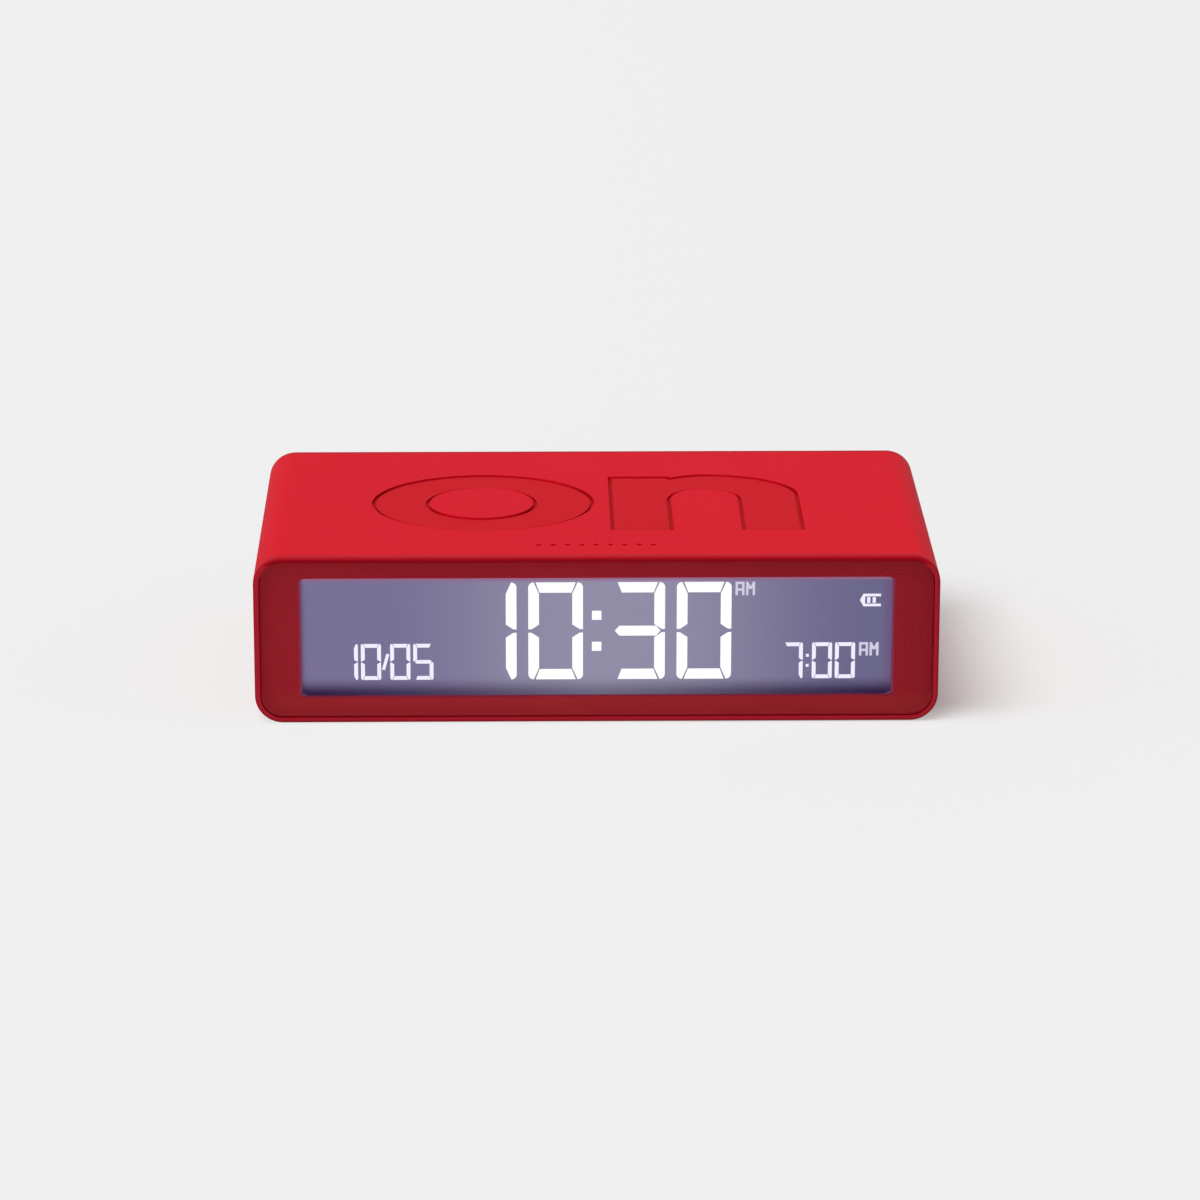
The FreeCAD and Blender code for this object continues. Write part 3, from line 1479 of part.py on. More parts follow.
doc.recompute()
check_parts()
os.makedirs("parts", exist_ok=True)
for name, thing in parts.items():
    thing.Shape.exportStep(f"parts/{name}.step")
    box = thing.Shape.BoundBox
    print(
        f"{name:22s} solids {len(thing.Shape.Solids):3d} volume {thing.Shape.Volume:9.2f}"
        f" x {box.XMin:7.2f} {box.XMax:7.2f} y {box.YMin:7.2f} {box.YMax:7.2f}"
        f" z {box.ZMin:6.2f} {box.ZMax:6.2f}"
    )
print(len(parts), "sub-parts")
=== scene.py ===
"""Finishes, small parts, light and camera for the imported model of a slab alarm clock."""
import math

import bmesh
import bpy
from bpy.props import FloatProperty, FloatVectorProperty, PointerProperty
from bpy.types import Operator, Panel, PropertyGroup
from mathutils import Matrix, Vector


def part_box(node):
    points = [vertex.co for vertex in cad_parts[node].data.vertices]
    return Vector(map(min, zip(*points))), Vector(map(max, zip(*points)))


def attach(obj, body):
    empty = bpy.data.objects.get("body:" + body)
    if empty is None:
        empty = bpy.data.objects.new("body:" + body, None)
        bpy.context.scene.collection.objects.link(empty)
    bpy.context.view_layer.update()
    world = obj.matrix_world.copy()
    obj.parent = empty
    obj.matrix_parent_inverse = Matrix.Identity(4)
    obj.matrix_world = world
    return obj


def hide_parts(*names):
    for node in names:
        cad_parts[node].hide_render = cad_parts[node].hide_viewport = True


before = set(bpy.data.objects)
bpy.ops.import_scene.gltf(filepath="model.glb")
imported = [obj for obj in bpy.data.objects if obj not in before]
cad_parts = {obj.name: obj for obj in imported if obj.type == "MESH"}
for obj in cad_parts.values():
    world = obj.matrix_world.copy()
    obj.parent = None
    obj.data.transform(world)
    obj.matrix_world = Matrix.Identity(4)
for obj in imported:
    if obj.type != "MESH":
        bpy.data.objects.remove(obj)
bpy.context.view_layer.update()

bl_info = {
    "name": "Slab alarm clock",
    "version": (1, 0, 0),
    "blender": (4, 5, 0),
    "location": "3D View > Sidebar > Clock",
    "description": "Finishes, small parts, light and camera for a slab alarm clock",
    "category": "Object",
}

MM = 0.001
SENSOR_WIDTH = 36
LOW, HIGH = (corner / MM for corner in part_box("sleeve"))
BUTTONS = [f"{name}_button" for name in ("mode", "set", "minus", "plus", "light")]
CORNERS = ((1, 1), (-1, 1), (-1, -1), (1, -1))


def shown(red, green, blue):
    """The linear colour that a screen shows as these three numbers from 0 to 255."""
    def linear(number):
        share = number / 255
        return share / 12.92 if share <= 0.04045 else ((share + 0.055) / 1.055) ** 2.4
    return tuple(linear(number) for number in (red, green, blue))


def lit(tint, share):
    """A colour made lighter, or darker where the share is under 1."""
    return tuple(min(1.0, part * share) for part in tint)


def colour(name, description, red, green, blue):
    return FloatVectorProperty(
        name=name,
        description=description,
        default=shown(red, green, blue),
        size=3,
        min=0,
        max=1,
        subtype="COLOR",
    )


def length(name, description, millimetres):
    return FloatProperty(
        name=name,
        description=description,
        default=millimetres * MM,
        min=0,
        unit="LENGTH",
        precision=5,
    )


def angle(name, description, degrees):
    return FloatProperty(
        name=name,
        description=description,
        default=math.radians(degrees),
        subtype="ANGLE",
    )


def amount(name, description, default):
    return FloatProperty(name=name, description=description, default=default, min=0)


class SleeveSettings(PropertyGroup):
    coating: colour("Coating", "Colour of the soft coating", 212, 12, 35)
    sunk: colour("Letter floor", "Colour of the floor of the letters", 201, 9, 26)
    # Painted shade in the groove round each letter
    groove_shade: colour("Letter groove", "Colour in the groove round each letter", 178, 2, 14)
    # Painted highlight on the letter walls that face the front
    far_wall_highlight: colour("Far wall", "Paler tint on the letter walls that face the front", 232, 11, 37)
    # Painted greyish sheen on the rims at the front and the rear
    end_face_sheen: colour("End face", "Colour of the rims at the front and the rear", 195, 34, 52)
    # Painted shade on the rims along the top, and faintly along the bottom
    rim_shade: colour("Top rim", "Colour of the rims along the top", 164, 4, 24)
    # Painted shade inside the rims
    recess_shade: colour("Recess", "Colour inside the rims", 128, 3, 18)
    grain: length("Grain", "Size of the coating's fine grain", 0.18)
    words_side: length("Words side", "From the middle to just past the ends of the words", 42)
    words_end: length("Words end", "From the middle to just past the feet of the words", 22)
    recess_start: length("Recess start", "From the middle to where the recesses begin", 26)


class FrontSettings(PropertyGroup):
    border: colour("Border", "Colour of the print behind the lens", 208, 16, 44)
    lower_border: colour("Lower border", "Paler tint along the bottom of the print", 237, 63, 66)
    side_bleed: colour("Side bleed", "Back light in the print beside the display", 168, 94, 145)
    foot_bleed: colour("Foot bleed", "Back light in the print below the display", 124, 43, 94)
    border_side: length("Border side", "Width of the print at each side", 7.2)
    border_end: length("Border end", "Height of the print above and below", 3.85)
    lens_gap: length("Lens gap", "Air between the lens and the print", 0.03)
    lens_bevel: length("Lens bevel", "Polished edge round the lens", 0.25)
    lens_radius: length("Lens radius", "Rounding of the corners of the lens", 3.35)


class DisplaySettings(PropertyGroup):
    left_glow: colour("Left glow", "Back light at the left end", 114, 107, 145)
    middle_glow: colour("Middle glow", "Back light in the middle", 143, 138, 164)
    right_glow: colour("Right glow", "Back light at the right end", 99, 95, 134)
    lower_shade: colour("Lower shade", "Shade along the bottom of the display", 38, 12, 60)
    upper_edge: colour("Upper edge", "Tint along the top of the display", 146, 92, 128)
    right_edge: colour("Right edge", "Tint along the right end of the display", 104, 76, 118)
    left_edge: colour("Left edge", "Tint along the left end of the display", 96, 58, 88)
    strokes: colour("Strokes", "Colour of the large digits", 255, 255, 255)
    small_strokes: colour("Small strokes", "Colour of the small digits", 240, 237, 252)
    marks: colour("Marks", "Colour of the smallest marks", 206, 202, 224)


class BackSettings(PropertyGroup):
    cover: colour("Cover", "Colour of the rear cover and the battery door", 196, 16, 32)
    buttons: colour("Buttons", "Colour of the five buttons", 52, 50, 54)
    signs: colour("Signs", "Paint in the signs of the buttons", 226, 224, 220)
    sign_depth: length("Sign depth", "How deep the signs lie in the buttons", 0.2)
    grip_drop: length("Grip drop", "From the door's upper edge to its middle grip bar", 3.6)
    grip_pitch: length("Grip pitch", "From one grip bar to the next", 1.5)
    grip_reach: length("Grip reach", "Half the length of the middle grip bar", 4.6)
    grip_depth: length("Grip depth", "How deep the middle grip bar lies in the door", 0.72)
    grip_radius: length("Grip radius", "Radius of a grip bar", 0.2)


class CellSettings(PropertyGroup):
    jacket: colour("Jacket", "Main colour of the cells", 36, 74, 104)
    band: colour("Band", "Band at the positive end of the cells", 214, 210, 200)
    jacket_start: length("Jacket start", "Bare steel at the positive end", 1.15)
    sign_place: length("Plus sign", "From the positive end to the middle of the plus sign", 6.2)
    band_end: length("Band end", "From the positive end to the end of the band", 11.3)
    ring_place: length("Ring", "From the positive end to the middle of the thin ring", 12.6)
    tail_start: length("Tail start", "From the positive end to the pale tail", 40.3)
    jacket_end: length("Jacket end", "From the positive end to the bare steel at the other", 44.125)


class BoardSettings(PropertyGroup):
    mask: colour("Solder mask", "Colour between the tracks of the boards", 14, 84, 54)
    track: colour("Track", "Colour of the mask over the copper tracks", 44, 124, 80)
    track_pitch: length("Track pitch", "From one copper track to the next", 1.6)
    track_width: length("Track width", "Width of a copper track", 0.4)


class StageSettings(PropertyGroup):
    background: colour("Background", "Floor and backdrop", 240, 240, 240)
    shadow: amount("Shadow", "Share of the floor's colour that a shadow can take away", 0.82)
    lit_side: amount("Lit side", "The same share on the side that the lamp lights", 0.3)
    front_side: amount("Front side", "Part of that share that is left in front of the clock", 0.55)
    bounce: amount("Bounce", "Share of the light that the floor throws back", 0.6)
    reach: length("Floor reach", "From the middle of the floor to its edge", 6000)
    floor_gap: length("Floor gap", "Air under the flat of the clock", 0.04)
    foot_side: length("Foot side", "From the sides of the clock to the opening in the floor", 5.0)
    foot_end: length("Foot end", "From the ends of the clock to the opening in the floor", 1.0)
    sky: amount("Sky", "Light from all round", 0.34)
    lamp: amount("Lamp", "Strength of the soft lamp high on the left", 2.2)
    lamp_height: angle("Lamp height", "Angle of the lamp above the floor", 67)
    lamp_turn: angle("Lamp turn", "Angle from the left end towards the front", 38)
    lamp_spread: angle("Lamp spread", "Width of the lamp as seen from the clock", 42)
    camera_place: FloatVectorProperty(
        name="Camera place",
        description="Where the camera stands",
        default=(-0.0124, -0.7747, 0.2525),
        size=3,
        unit="LENGTH",
        subtype="XYZ",
    )
    camera_fall: angle("Camera fall", "Angle at which the camera looks down", 17.36)
    camera_turn: angle("Camera turn", "Angle of the camera about the upright axis", -0.989)
    camera_roll: angle("Camera roll", "Angle of the camera about its line of sight", 0.085)
    focal_length: FloatProperty(
        name="Focal length",
        description=f"For an image {SENSOR_WIDTH} mm wide",
        default=153.3,
        unit="CAMERA",
    )


class ClockSettings(PropertyGroup):
    sleeve: PointerProperty(name="Sleeve", description="Coated sleeve", type=SleeveSettings)
    front: PointerProperty(name="Front", description="Lens and border", type=FrontSettings)
    display: PointerProperty(name="Display", description="Lit display", type=DisplaySettings)
    back: PointerProperty(name="Back", description="Cover and buttons", type=BackSettings)
    cells: PointerProperty(name="Cells", description="Battery cells", type=CellSettings)
    boards: PointerProperty(name="Boards", description="Circuit boards", type=BoardSettings)
    stage: PointerProperty(name="Stage", description="Floor, light and camera", type=StageSettings)


class Signal:
    """A socket that takes part in expressions: each sign adds a Math node."""

    def __init__(self, nodes, socket):
        self.nodes = nodes
        self.socket = socket

    def math(self, operation, *values):
        sockets = dict(enumerate(values))
        return self.nodes.node("ShaderNodeMath", {"operation": operation}, sockets)["Value"]

    def __add__(self, other):
        return self.math("ADD", self, other)

    def __radd__(self, other):
        return self.math("ADD", other, self)

    def __sub__(self, other):
        return self.math("SUBTRACT", self, other)

    def __rsub__(self, other):
        return self.math("SUBTRACT", other, self)

    def __mul__(self, other):
        return self.math("MULTIPLY", self, other)

    def __rmul__(self, other):
        return self.math("MULTIPLY", other, self)

    def __mod__(self, other):
        return self.math("FLOORED_MODULO", self, other)

    def __abs__(self):
        return self.math("ABSOLUTE", self)

    def over(self, other):
        """The larger of two values, which joins two masks."""
        return self.math("MAXIMUM", self, other)


class Nodes:
    """The nodes of a material or of the world."""

    def __init__(self, tree):
        tree.nodes.clear()
        self.tree = tree

    def node(self, kind, settings, sockets):
        """Adds a node: its settings first, then its sockets' values or links; gives its outputs."""
        made = self.tree.nodes.new(kind)
        for name, value in settings.items():
            setattr(made, name, value)
        for name, value in sockets.items():
            socket = made.inputs[name]
            if isinstance(value, Signal):
                self.tree.links.new(value.socket, socket)
            else:
                socket.default_value = (*value, 1.0) if socket.type == "RGBA" else value
        return {output.identifier: Signal(self, output) for output in made.outputs}

    def mixed_shader(self, share, first, second):
        """The first shader where the share is 0, the second where it is 1."""
        return self.node("ShaderNodeMixShader", {}, {0: share, 1: first, 2: second})["Shader"]

    def seen(self):
        """1 for a ray that shows the stage, and 0 for one that only lights the clock."""
        path = self.node("ShaderNodeLightPath", {}, {})
        return path["Is Camera Ray"].over(path["Is Glossy Ray"]).over(path["Is Transmission Ray"])


class Finish(Nodes):
    """A material and what its surface is made from."""

    def __init__(self, name):
        self.material = bpy.data.materials.new(name)
        self.material.use_nodes = True
        super().__init__(self.material.node_tree)

    def place(self):
        return self.node("ShaderNodeTexCoord", {}, {})["Object"]

    def axes(self):
        """The place on the clock along each axis, in millimetres."""
        split = self.node("ShaderNodeSeparateXYZ", {}, {0: self.place()})
        return [place * (1 / MM) for place in split.values()]

    def facing(self):
        """How far the surface faces along each axis, from -1 to 1."""
        normal = self.node("ShaderNodeTexCoord", {}, {})["Normal"]
        return list(self.node("ShaderNodeSeparateXYZ", {}, {0: normal}).values())

    def noise(self, feature, detail=2.0, vector=None):
        """Soft random values from 0 to 1 with features of a size in metres."""
        sockets = {"Vector": vector or self.place(), "Scale": 1 / feature, "Detail": detail}
        return self.node("ShaderNodeTexNoise", {}, sockets)["Fac"]

    def stretched(self, along, across, axis):
        """Place values drawn out along one axis, for brushed or drawn surfaces."""
        scale = [1 / across] * 3
        scale[axis] = 1 / along
        settings = {"operation": "MULTIPLY"}
        return self.node("ShaderNodeVectorMath", settings, {0: self.place(), 1: scale})["Vector"]

    def step(self, value, low, high, start=0.0, end=1.0):
        """Climbs smoothly from start to end while the value goes from low to high."""
        settings = {"interpolation_type": "SMOOTHSTEP"}
        limits = {"From Min": low, "From Max": high, "To Min": start, "To Max": end}
        return self.node("ShaderNodeMapRange", settings, {"Value": value, **limits})["Result"]

    def past(self, value, place, soft, start=0.0, end=1.0):
        """Goes from start to end where a value passes a place, over a soft edge."""
        return self.step(value, place - soft / 2, place + soft / 2, start, end)

    def within(self, value, reach, soft):
        """1 where a value is nearer to 0 than the reach, with a soft edge."""
        return self.past(abs(value), reach, soft, 1.0, 0.0)

    def mix(self, share, first, second):
        """The first colour where the share is 0, the second where it is 1."""
        settings = {"data_type": "RGBA"}
        return self.node("ShaderNodeMix", settings, {0: share, 6: first, 7: second})["Result_Color"]

    def bump(self, height, depth):
        """Relief whose height, from 0 to 1, stands for a depth in metres."""
        return self.node("ShaderNodeBump", {}, {"Height": height, "Distance": depth})["Normal"]

    def principled(self, **sockets):
        """A Principled shader: an underscore in a name stands for a space."""
        named = {name.replace("_", " "): value for name, value in sockets.items()}
        return self.node("ShaderNodeBsdfPrincipled", {}, named)["BSDF"]

    def end(self, surface):
        """Makes a shader the surface of the finish."""
        self.node("ShaderNodeOutputMaterial", {}, {"Surface": surface})
        return self


def dress(finish, *names):
    """Gives CAD nodes a finish."""
    for name in names:
        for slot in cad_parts[name].material_slots:
            slot.material = finish.material


def new_object(name, mesh, finish):
    """Turns a bmesh into an object of the scene."""
    data = bpy.data.meshes.new(name)
    mesh.to_mesh(data)
    mesh.free()
    data.materials.append(finish.material)
    made = bpy.data.objects.new(name, data)
    bpy.context.scene.collection.objects.link(made)
    return made


def add_piece(name, mesh, finish, body, smooth=False):
    """Turns a bmesh in the clock's own frame into a piece that rides on a body."""
    bmesh.ops.recalc_face_normals(mesh, faces=mesh.faces)
    for face in mesh.faces:
        face.smooth = smooth
    piece = new_object(name, mesh, finish)
    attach(piece, body)
    return piece


def rounded_outline(width, height, radius, steps=10):
    """Corners of a rounded rectangle about the origin, counter-clockwise."""
    points = []
    for turn, (side, up) in enumerate(CORNERS):
        x = side * (width / 2 - radius)
        y = up * (height / 2 - radius)
        for step in range(steps + 1):
            turned = math.pi / 2 * (turn + step / steps)
            points.append((x + radius * math.cos(turned), y + radius * math.sin(turned)))
    return points


def bridge(mesh, near, far):
    """Joins two like rings of vertices with faces."""
    count = len(near)
    for index in range(count):
        after = (index + 1) % count
        mesh.faces.new((near[index], near[after], far[after], far[index]))


def skin(mesh, rings):
    """Closes a row of like rings of points into a solid."""
    rings = [[mesh.verts.new(point) for point in ring] for ring in rings]
    for near, far in zip(rings, rings[1:]):
        bridge(mesh, near, far)
    mesh.faces.new(rings[0])
    mesh.faces.new(list(reversed(rings[-1])))


def lathe(mesh, profile, centre, axis, sides=32):
    """Adds a solid of revolution: the profile gives places along the axis and radii there."""
    across = [index for index in range(3) if index != axis]
    rings = []
    for along, radius in profile:
        ring = []
        for side in range(sides):
            turned = 2 * math.pi * side / sides
            point = list(centre)
            point[axis] += along
            point[across[0]] += radius * math.cos(turned)
            point[across[1]] += radius * math.sin(turned)
            ring.append(point)
        rings.append(ring)
    skin(mesh, rings)


def soft_coating(settings):
    """Matt soft paint: fine grain, faint clouds, darker letter floors and a glossier, darker band
    near each end, where the darkness is painted shade; also painted shade in the letter grooves, on
    the rims and inside them, a painted sheen on the end faces and a painted highlight on the letter
    walls that face the front.
    """
    finish = Finish("Soft coating")
    x, y, z = finish.axes()
    facing_x, facing_y, facing_z = finish.facing()
    middle = HIGH.z / 2
    height = z - middle
    depth = middle - abs(height)
    wall_depth, floor_depth, groove_depth, rim_height = 0.04, 0.085, 0.23, 1.25
    across = finish.within(x, settings.words_side / MM, 2.0)
    letters = across * finish.within(y, settings.words_end / MM, 2.0)
    level = finish.step(abs(facing_z), 0.9, 0.98)
    sunk = finish.past(depth, floor_depth, 0.07) * level * letters
    # groove: where the painted shade in the letter grooves lies
    groove_shade = finish.past(depth, groove_depth, 0.14) * letters
    # to_front and far_wall_highlight: where the painted highlight on the letter walls that face the
    # front lies
    to_front = finish.step(facing_y, -0.8, -0.4, 1.0, 0.0)
    far_wall_highlight = to_front * finish.past(depth, wall_depth, 0.04) * letters
    end = abs(y)
    # end_face_sheen: where the painted sheen on the front and rear faces lies
    end_face_sheen = finish.step(abs(facing_y), 0.75, 0.97) * finish.past(end, HIGH.y - 0.3, 0.2)
    # inward and recess: painted shade on the surfaces inside the rims, past the recess start
    inward = finish.step(facing_x * x + facing_z * height, -8.0, -2.0, 1.0, 0.0)
    recess_shade = inward * finish.past(end, settings.recess_start / MM + 0.25, 0.5)
    clouds = finish.noise(0.03)
    # worn: painted shade on the top near both ends, a darker copy of the coating; it also makes the
    # coating a little glossier there as wear
    worn = finish.step(end, HIGH.y - 2.0, HIGH.y - 0.7) * (0.45 + finish.noise(0.004, 4) * 0.3)
    plain = finish.mix(clouds, lit(settings.coating, 0.97), lit(settings.coating, 1.03))
    edged = finish.mix(worn, plain, lit(settings.coating, 0.5))
    # bottom_rim_shade and rim_shade: painted shade on the rim bands, full along the top and at 0.15
    # along the bottom
    bottom_rim_shade = finish.past(z, rim_height, 0.5, 0.15, 0.0)
    rim_shade = finish.past(z, HIGH.z - rim_height, 0.5) + bottom_rim_shade
    rims = finish.mix(rim_shade, settings.end_face_sheen, settings.rim_shade)
    ended = finish.mix(end_face_sheen, edged, rims)
    recessed = finish.mix(recess_shade, ended, settings.recess_shade)
    floor = finish.mix(sunk, recessed, settings.sunk)
    grooved = finish.mix(groove_shade, floor, settings.groove_shade)
    grain = finish.noise(settings.grain, 3)
    return finish.end(finish.principled(
        Base_Color=finish.mix(far_wall_highlight, grooved, settings.far_wall_highlight),
        Roughness=0.56 + grain * 0.08 - worn * 0.15 + finish.noise(0.012) * 0.05,
        IOR=1.45,
        Specular_IOR_Level=0.07,
        Normal=finish.bump(grain, 0.02 * MM),
    ))


def plastic(name, tint, rough=0.42, grain=0.3, depth=0.012):
    """Moulded plastic with faint flow marks and a fine grain, sized in millimetres."""
    finish = Finish(name)
    fine = finish.noise(grain * MM, 3)
    flow = finish.noise(0.012)
    return finish.end(finish.principled(
        Base_Color=finish.mix(flow, lit(tint, 0.93), lit(tint, 1.06)),
        Roughness=rough - 0.05 + fine * 0.1,
        IOR=1.46,
        Normal=finish.bump(fine, depth * MM),
    ))


def metal(name, tint, rough, axis=1, along=4.0, across=0.1):
    """Metal with cloudy tarnish and streaks, sized in millimetres, along one axis."""
    finish = Finish(name)
    drawn = finish.noise(1.0, 3, finish.stretched(along * MM, across * MM, axis))
    tarnish = finish.noise(0.002, 3)
    return finish.end(finish.principled(
        Base_Color=finish.mix(tarnish, lit(tint, 0.82), tint),
        Metallic=1.0,
        Roughness=rough + tarnish * 0.12 + drawn * 0.06,
        Normal=finish.bump(drawn, 0.004 * MM),
    ))


def border_print(settings):
    """Dark, slightly uneven print behind the lens, with back light bleeding into its edge."""
    finish = Finish("Border print")
    x, _, z = finish.axes()
    uneven = finish.noise(0.02, 3)
    # to_right: painted light, the print lighter at the left end towards the lamp and darker at the
    # right
    to_right = finish.step(x, LOW.x, HIGH.x)
    base = finish.mix(to_right, lit(settings.border, 1.08), lit(settings.border, 0.94))
    lower = finish.mix(finish.step(z, 2.0, 5.0, 0.4, 0.0), base, settings.lower_border)
    printed = finish.mix(uneven * 0.3, lower, lit(settings.border, 0.88))
    side = HIGH.x - settings.border_side / MM
    foot = settings.border_end / MM
    middle = HIGH.z / 2
    edge = 0.4
    beside = finish.step(abs(abs(x) - side), 0.0, 0.6, 0.75, 0.0)
    side_bleed = beside * finish.within(z - middle, middle - foot - edge / 2, edge)
    below = finish.step(abs(z - foot), 0.0, 0.5, 0.7, 0.0)
    foot_bleed = below * finish.within(x, side + edge / 2, edge)
    side_lit = finish.mix(side_bleed, printed, settings.side_bleed)
    return finish.end(finish.principled(
        Base_Color=finish.mix(foot_bleed, side_lit, settings.foot_bleed),
        Roughness=0.5 + uneven * 0.1,
        IOR=1.2,
    ))


def clear_lens():
    """Clear acrylic: what lies behind it shows through, under a weak gloss with faint smears."""
    finish = Finish("Clear lens")
    through = finish.node("ShaderNodeBsdfTransparent", {}, {})["BSDF"]
    gloss = finish.principled(
        Base_Color=(1, 1, 1),
        Metallic=1.0,
        Roughness=0.03 + finish.noise(0.006, 4) * 0.06,
    )
    share = finish.node("ShaderNodeFresnel", {}, {"IOR": 1.14})["Fac"]
    return finish.end(finish.mixed_shader(share, through, gloss))


def glowing_film(settings):
    """The display's front film, lit from behind: brightest in the middle, shaded at the bottom."""
    finish = Finish("Lit film")
    x, _, z = finish.axes()
    left_end, dim_left, bright_left, bright_right, dim_right, right_end = -45, -34, 0, 4, 44, 44.4
    from_left = finish.step(x, dim_left, bright_left)
    to_right = finish.step(x, bright_right, dim_right)
    left = finish.mix(from_left, settings.left_glow, settings.middle_glow)
    glow = finish.mix(to_right, left, settings.right_glow)
    blotches = finish.mix(finish.noise(0.009) * 0.1, glow, lit(settings.right_glow, 0.8))
    near_right = finish.past(x, right_end, 1.6, 0.0, 0.8)
    near_left = finish.past(x, left_end, 0.8, 0.7, 0.0)
    right_ended = finish.mix(near_right, blotches, settings.right_edge)
    ended = finish.mix(near_left, right_ended, settings.left_edge)
    low, high = (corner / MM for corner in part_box("lcd_segments"))
    foot = low.z - 2.1
    strength = 0.5 + abs(x - 1.0) * 0.0116
    shade = finish.step(z, foot - 0.2, foot + 2.7, 1.0, 0.0) * strength
    shaded = finish.mix(shade, ended, settings.lower_shade)
    near_top = finish.step(z, high.z, high.z + 0.6, 0.0, 0.9)
    upper = finish.mix(near_top, shaded, settings.upper_edge)
    return finish.end(finish.principled(
        Base_Color=(0.012, 0.01, 0.016),
        Roughness=0.4,
        IOR=1.3,
        Emission_Color=upper,
        Emission_Strength=1.0,
    ))


def lit_strokes(settings):
    """The display's strokes: white where large, dimmer where small."""
    finish = Finish("Lit strokes")
    x, _, z = finish.axes()
    digits_middle, digits_reach = 3.3, 17.6
    mark_middle, mark_reach, mark_foot = 23.0, 1.9, 17.1
    alarm_side, alarm_middle, alarm_reach = 40.3, 10.5, 2.5
    small = 1 - finish.within(x - digits_middle, digits_reach, 0.4)
    by_digits = finish.within(x - mark_middle, mark_reach, 0.1) * finish.past(z, mark_foot, 0.2)
    beside = finish.past(x, alarm_side, 0.2)
    by_alarm = beside * finish.within(z - alarm_middle, alarm_reach, 0.2)
    sized = finish.mix(small, settings.strokes, settings.small_strokes)
    tint = finish.mix(by_digits.over(by_alarm), sized, settings.marks)
    worn = finish.mix(finish.noise(0.0015) * 0.05, tint, settings.marks)
    return finish.end(finish.principled(
        Base_Color=(0, 0, 0),
        Roughness=0.5,
        Emission_Color=worn,
        Emission_Strength=1.0,
    ))


def display_glass():
    """Thin display glass and films, dark between their polarisers."""
    finish = Finish("Display glass")
    uneven = finish.noise(0.01)
    return finish.end(finish.principled(
        Base_Color=finish.mix(uneven, (0.22, 0.21, 0.27), (0.27, 0.26, 0.33)),
        Roughness=0.06 + uneven * 0.06,
        IOR=1.5,
    ))


def circuit_board(settings):
    """Green solder mask over copper tracks, which run along the board or up it in patches."""
    finish = Finish("Solder mask")
    x, _, z = finish.axes()
    pitch = settings.track_pitch / MM
    reach = settings.track_width / MM / 2
    along = finish.within(x % pitch - pitch / 2, reach, 0.06)
    up = finish.within(z % pitch - pitch / 2, reach, 0.06)
    patches = finish.past(finish.noise(0.008, 1), 0.5, 0.04)
    copper = along * patches + up * (1 - patches)
    weave = finish.noise(0.0007)
    return finish.end(finish.principled(
        Base_Color=finish.mix(copper, settings.mask, settings.track),
        Roughness=0.28 + weave * 0.1,
        IOR=1.5,
        Normal=finish.bump(copper + weave * 0.3, 0.03 * MM),
    ))


def striped(name, first, second, pitch, axis):
    """Bands of two colours along one axis, as on contact rubber or a ribbon of wires."""
    finish = Finish(name)
    fold = abs(finish.axes()[axis] % pitch - pitch / 2) * (1 / pitch)
    bands = finish.step(fold, 0.2, 0.3)
    grooves = finish.step(fold, 0.4, 0.5)
    worn = finish.noise(0.002, 3)
    tint = finish.mix(bands, first, second)
    return finish.end(finish.principled(
        Base_Color=finish.mix(worn * 0.25, tint, lit(second, 0.7)),
        Roughness=0.5 + worn * 0.1,
        IOR=1.4,
        Normal=finish.bump(1 - grooves, 0.05 * MM),
    ))


def cell_jacket(name, settings, positive, way):
    """A printed cell: band and plus sign at the positive end, bare steel at both ends."""
    finish = Finish(f"{name} jacket")
    x, _, z = finish.axes()
    low, high = (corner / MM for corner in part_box(name))
    height = z - (low.z + high.z) / 2
    inward = (x - positive) * way
    band = finish.past(inward, settings.band_end / MM, 0.2, 1.0, 0.0)
    ring = finish.within(inward - settings.ring_place / MM, 0.4, 0.1)
    tail = finish.past(inward, settings.tail_start / MM, 0.2)
    cap = finish.past(inward, settings.jacket_start / MM, 0.1, 1.0, 0.0)
    bare = cap + finish.past(inward, settings.jacket_end / MM, 0.05)
    sign = inward - settings.sign_place / MM
    sign_reach, sign_stroke = 1.55, 0.4
    arm = finish.within(sign, sign_reach, 0.1) * finish.within(height, sign_stroke, 0.1)
    post = finish.within(sign, sign_stroke, 0.1) * finish.within(height, sign_reach, 0.1)
    ground = finish.mix(band + ring + tail, settings.jacket, settings.band)
    printed = finish.mix(arm.over(post), ground, settings.jacket)
    scuffs = finish.step(finish.noise(0.0012, 4), 0.62, 0.75) * 0.25
    worn = finish.mix(scuffs, printed, lit(settings.band, 0.8))
    return finish.end(finish.principled(
        Base_Color=finish.mix(bare, worn, (0.62, 0.61, 0.58)),
        Metallic=0.25 + bare * 0.7,
        Roughness=0.3 + scuffs * 0.6,
        IOR=1.5,
    ))


def button_plastic(settings):
    """Dark satin caps whose shallow signs are filled with pale paint."""
    finish = Finish("Button plastic")
    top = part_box("plus_button")[1].y / MM
    depth = top - finish.axes()[1]
    level = finish.step(finish.facing()[1], 0.9, 0.97)
    sunk = finish.within(depth - settings.sign_depth / MM, 0.07, 0.03) * level
    fine = finish.noise(0.0002, 3)
    plain = finish.mix(fine, lit(settings.buttons, 0.85), lit(settings.buttons, 1.15))
    return finish.end(finish.principled(
        Base_Color=finish.mix(sunk, plain, settings.signs),
        Roughness=0.4 + fine * 0.15,
        IOR=1.45,
        Normal=finish.bump(fine, 0.01 * MM),
    ))


class CLOCK_OT_sleeve(Operator):
    """Paint the sleeve with its soft coating"""

    bl_idname = "slab_clock.sleeve"
    bl_label = "Sleeve"
    bl_options = {"REGISTER", "UNDO"}
    section = "sleeve"

    def execute(self, context):
        dress(soft_coating(context.scene.slab_clock.sleeve), "sleeve")
        return {"FINISHED"}


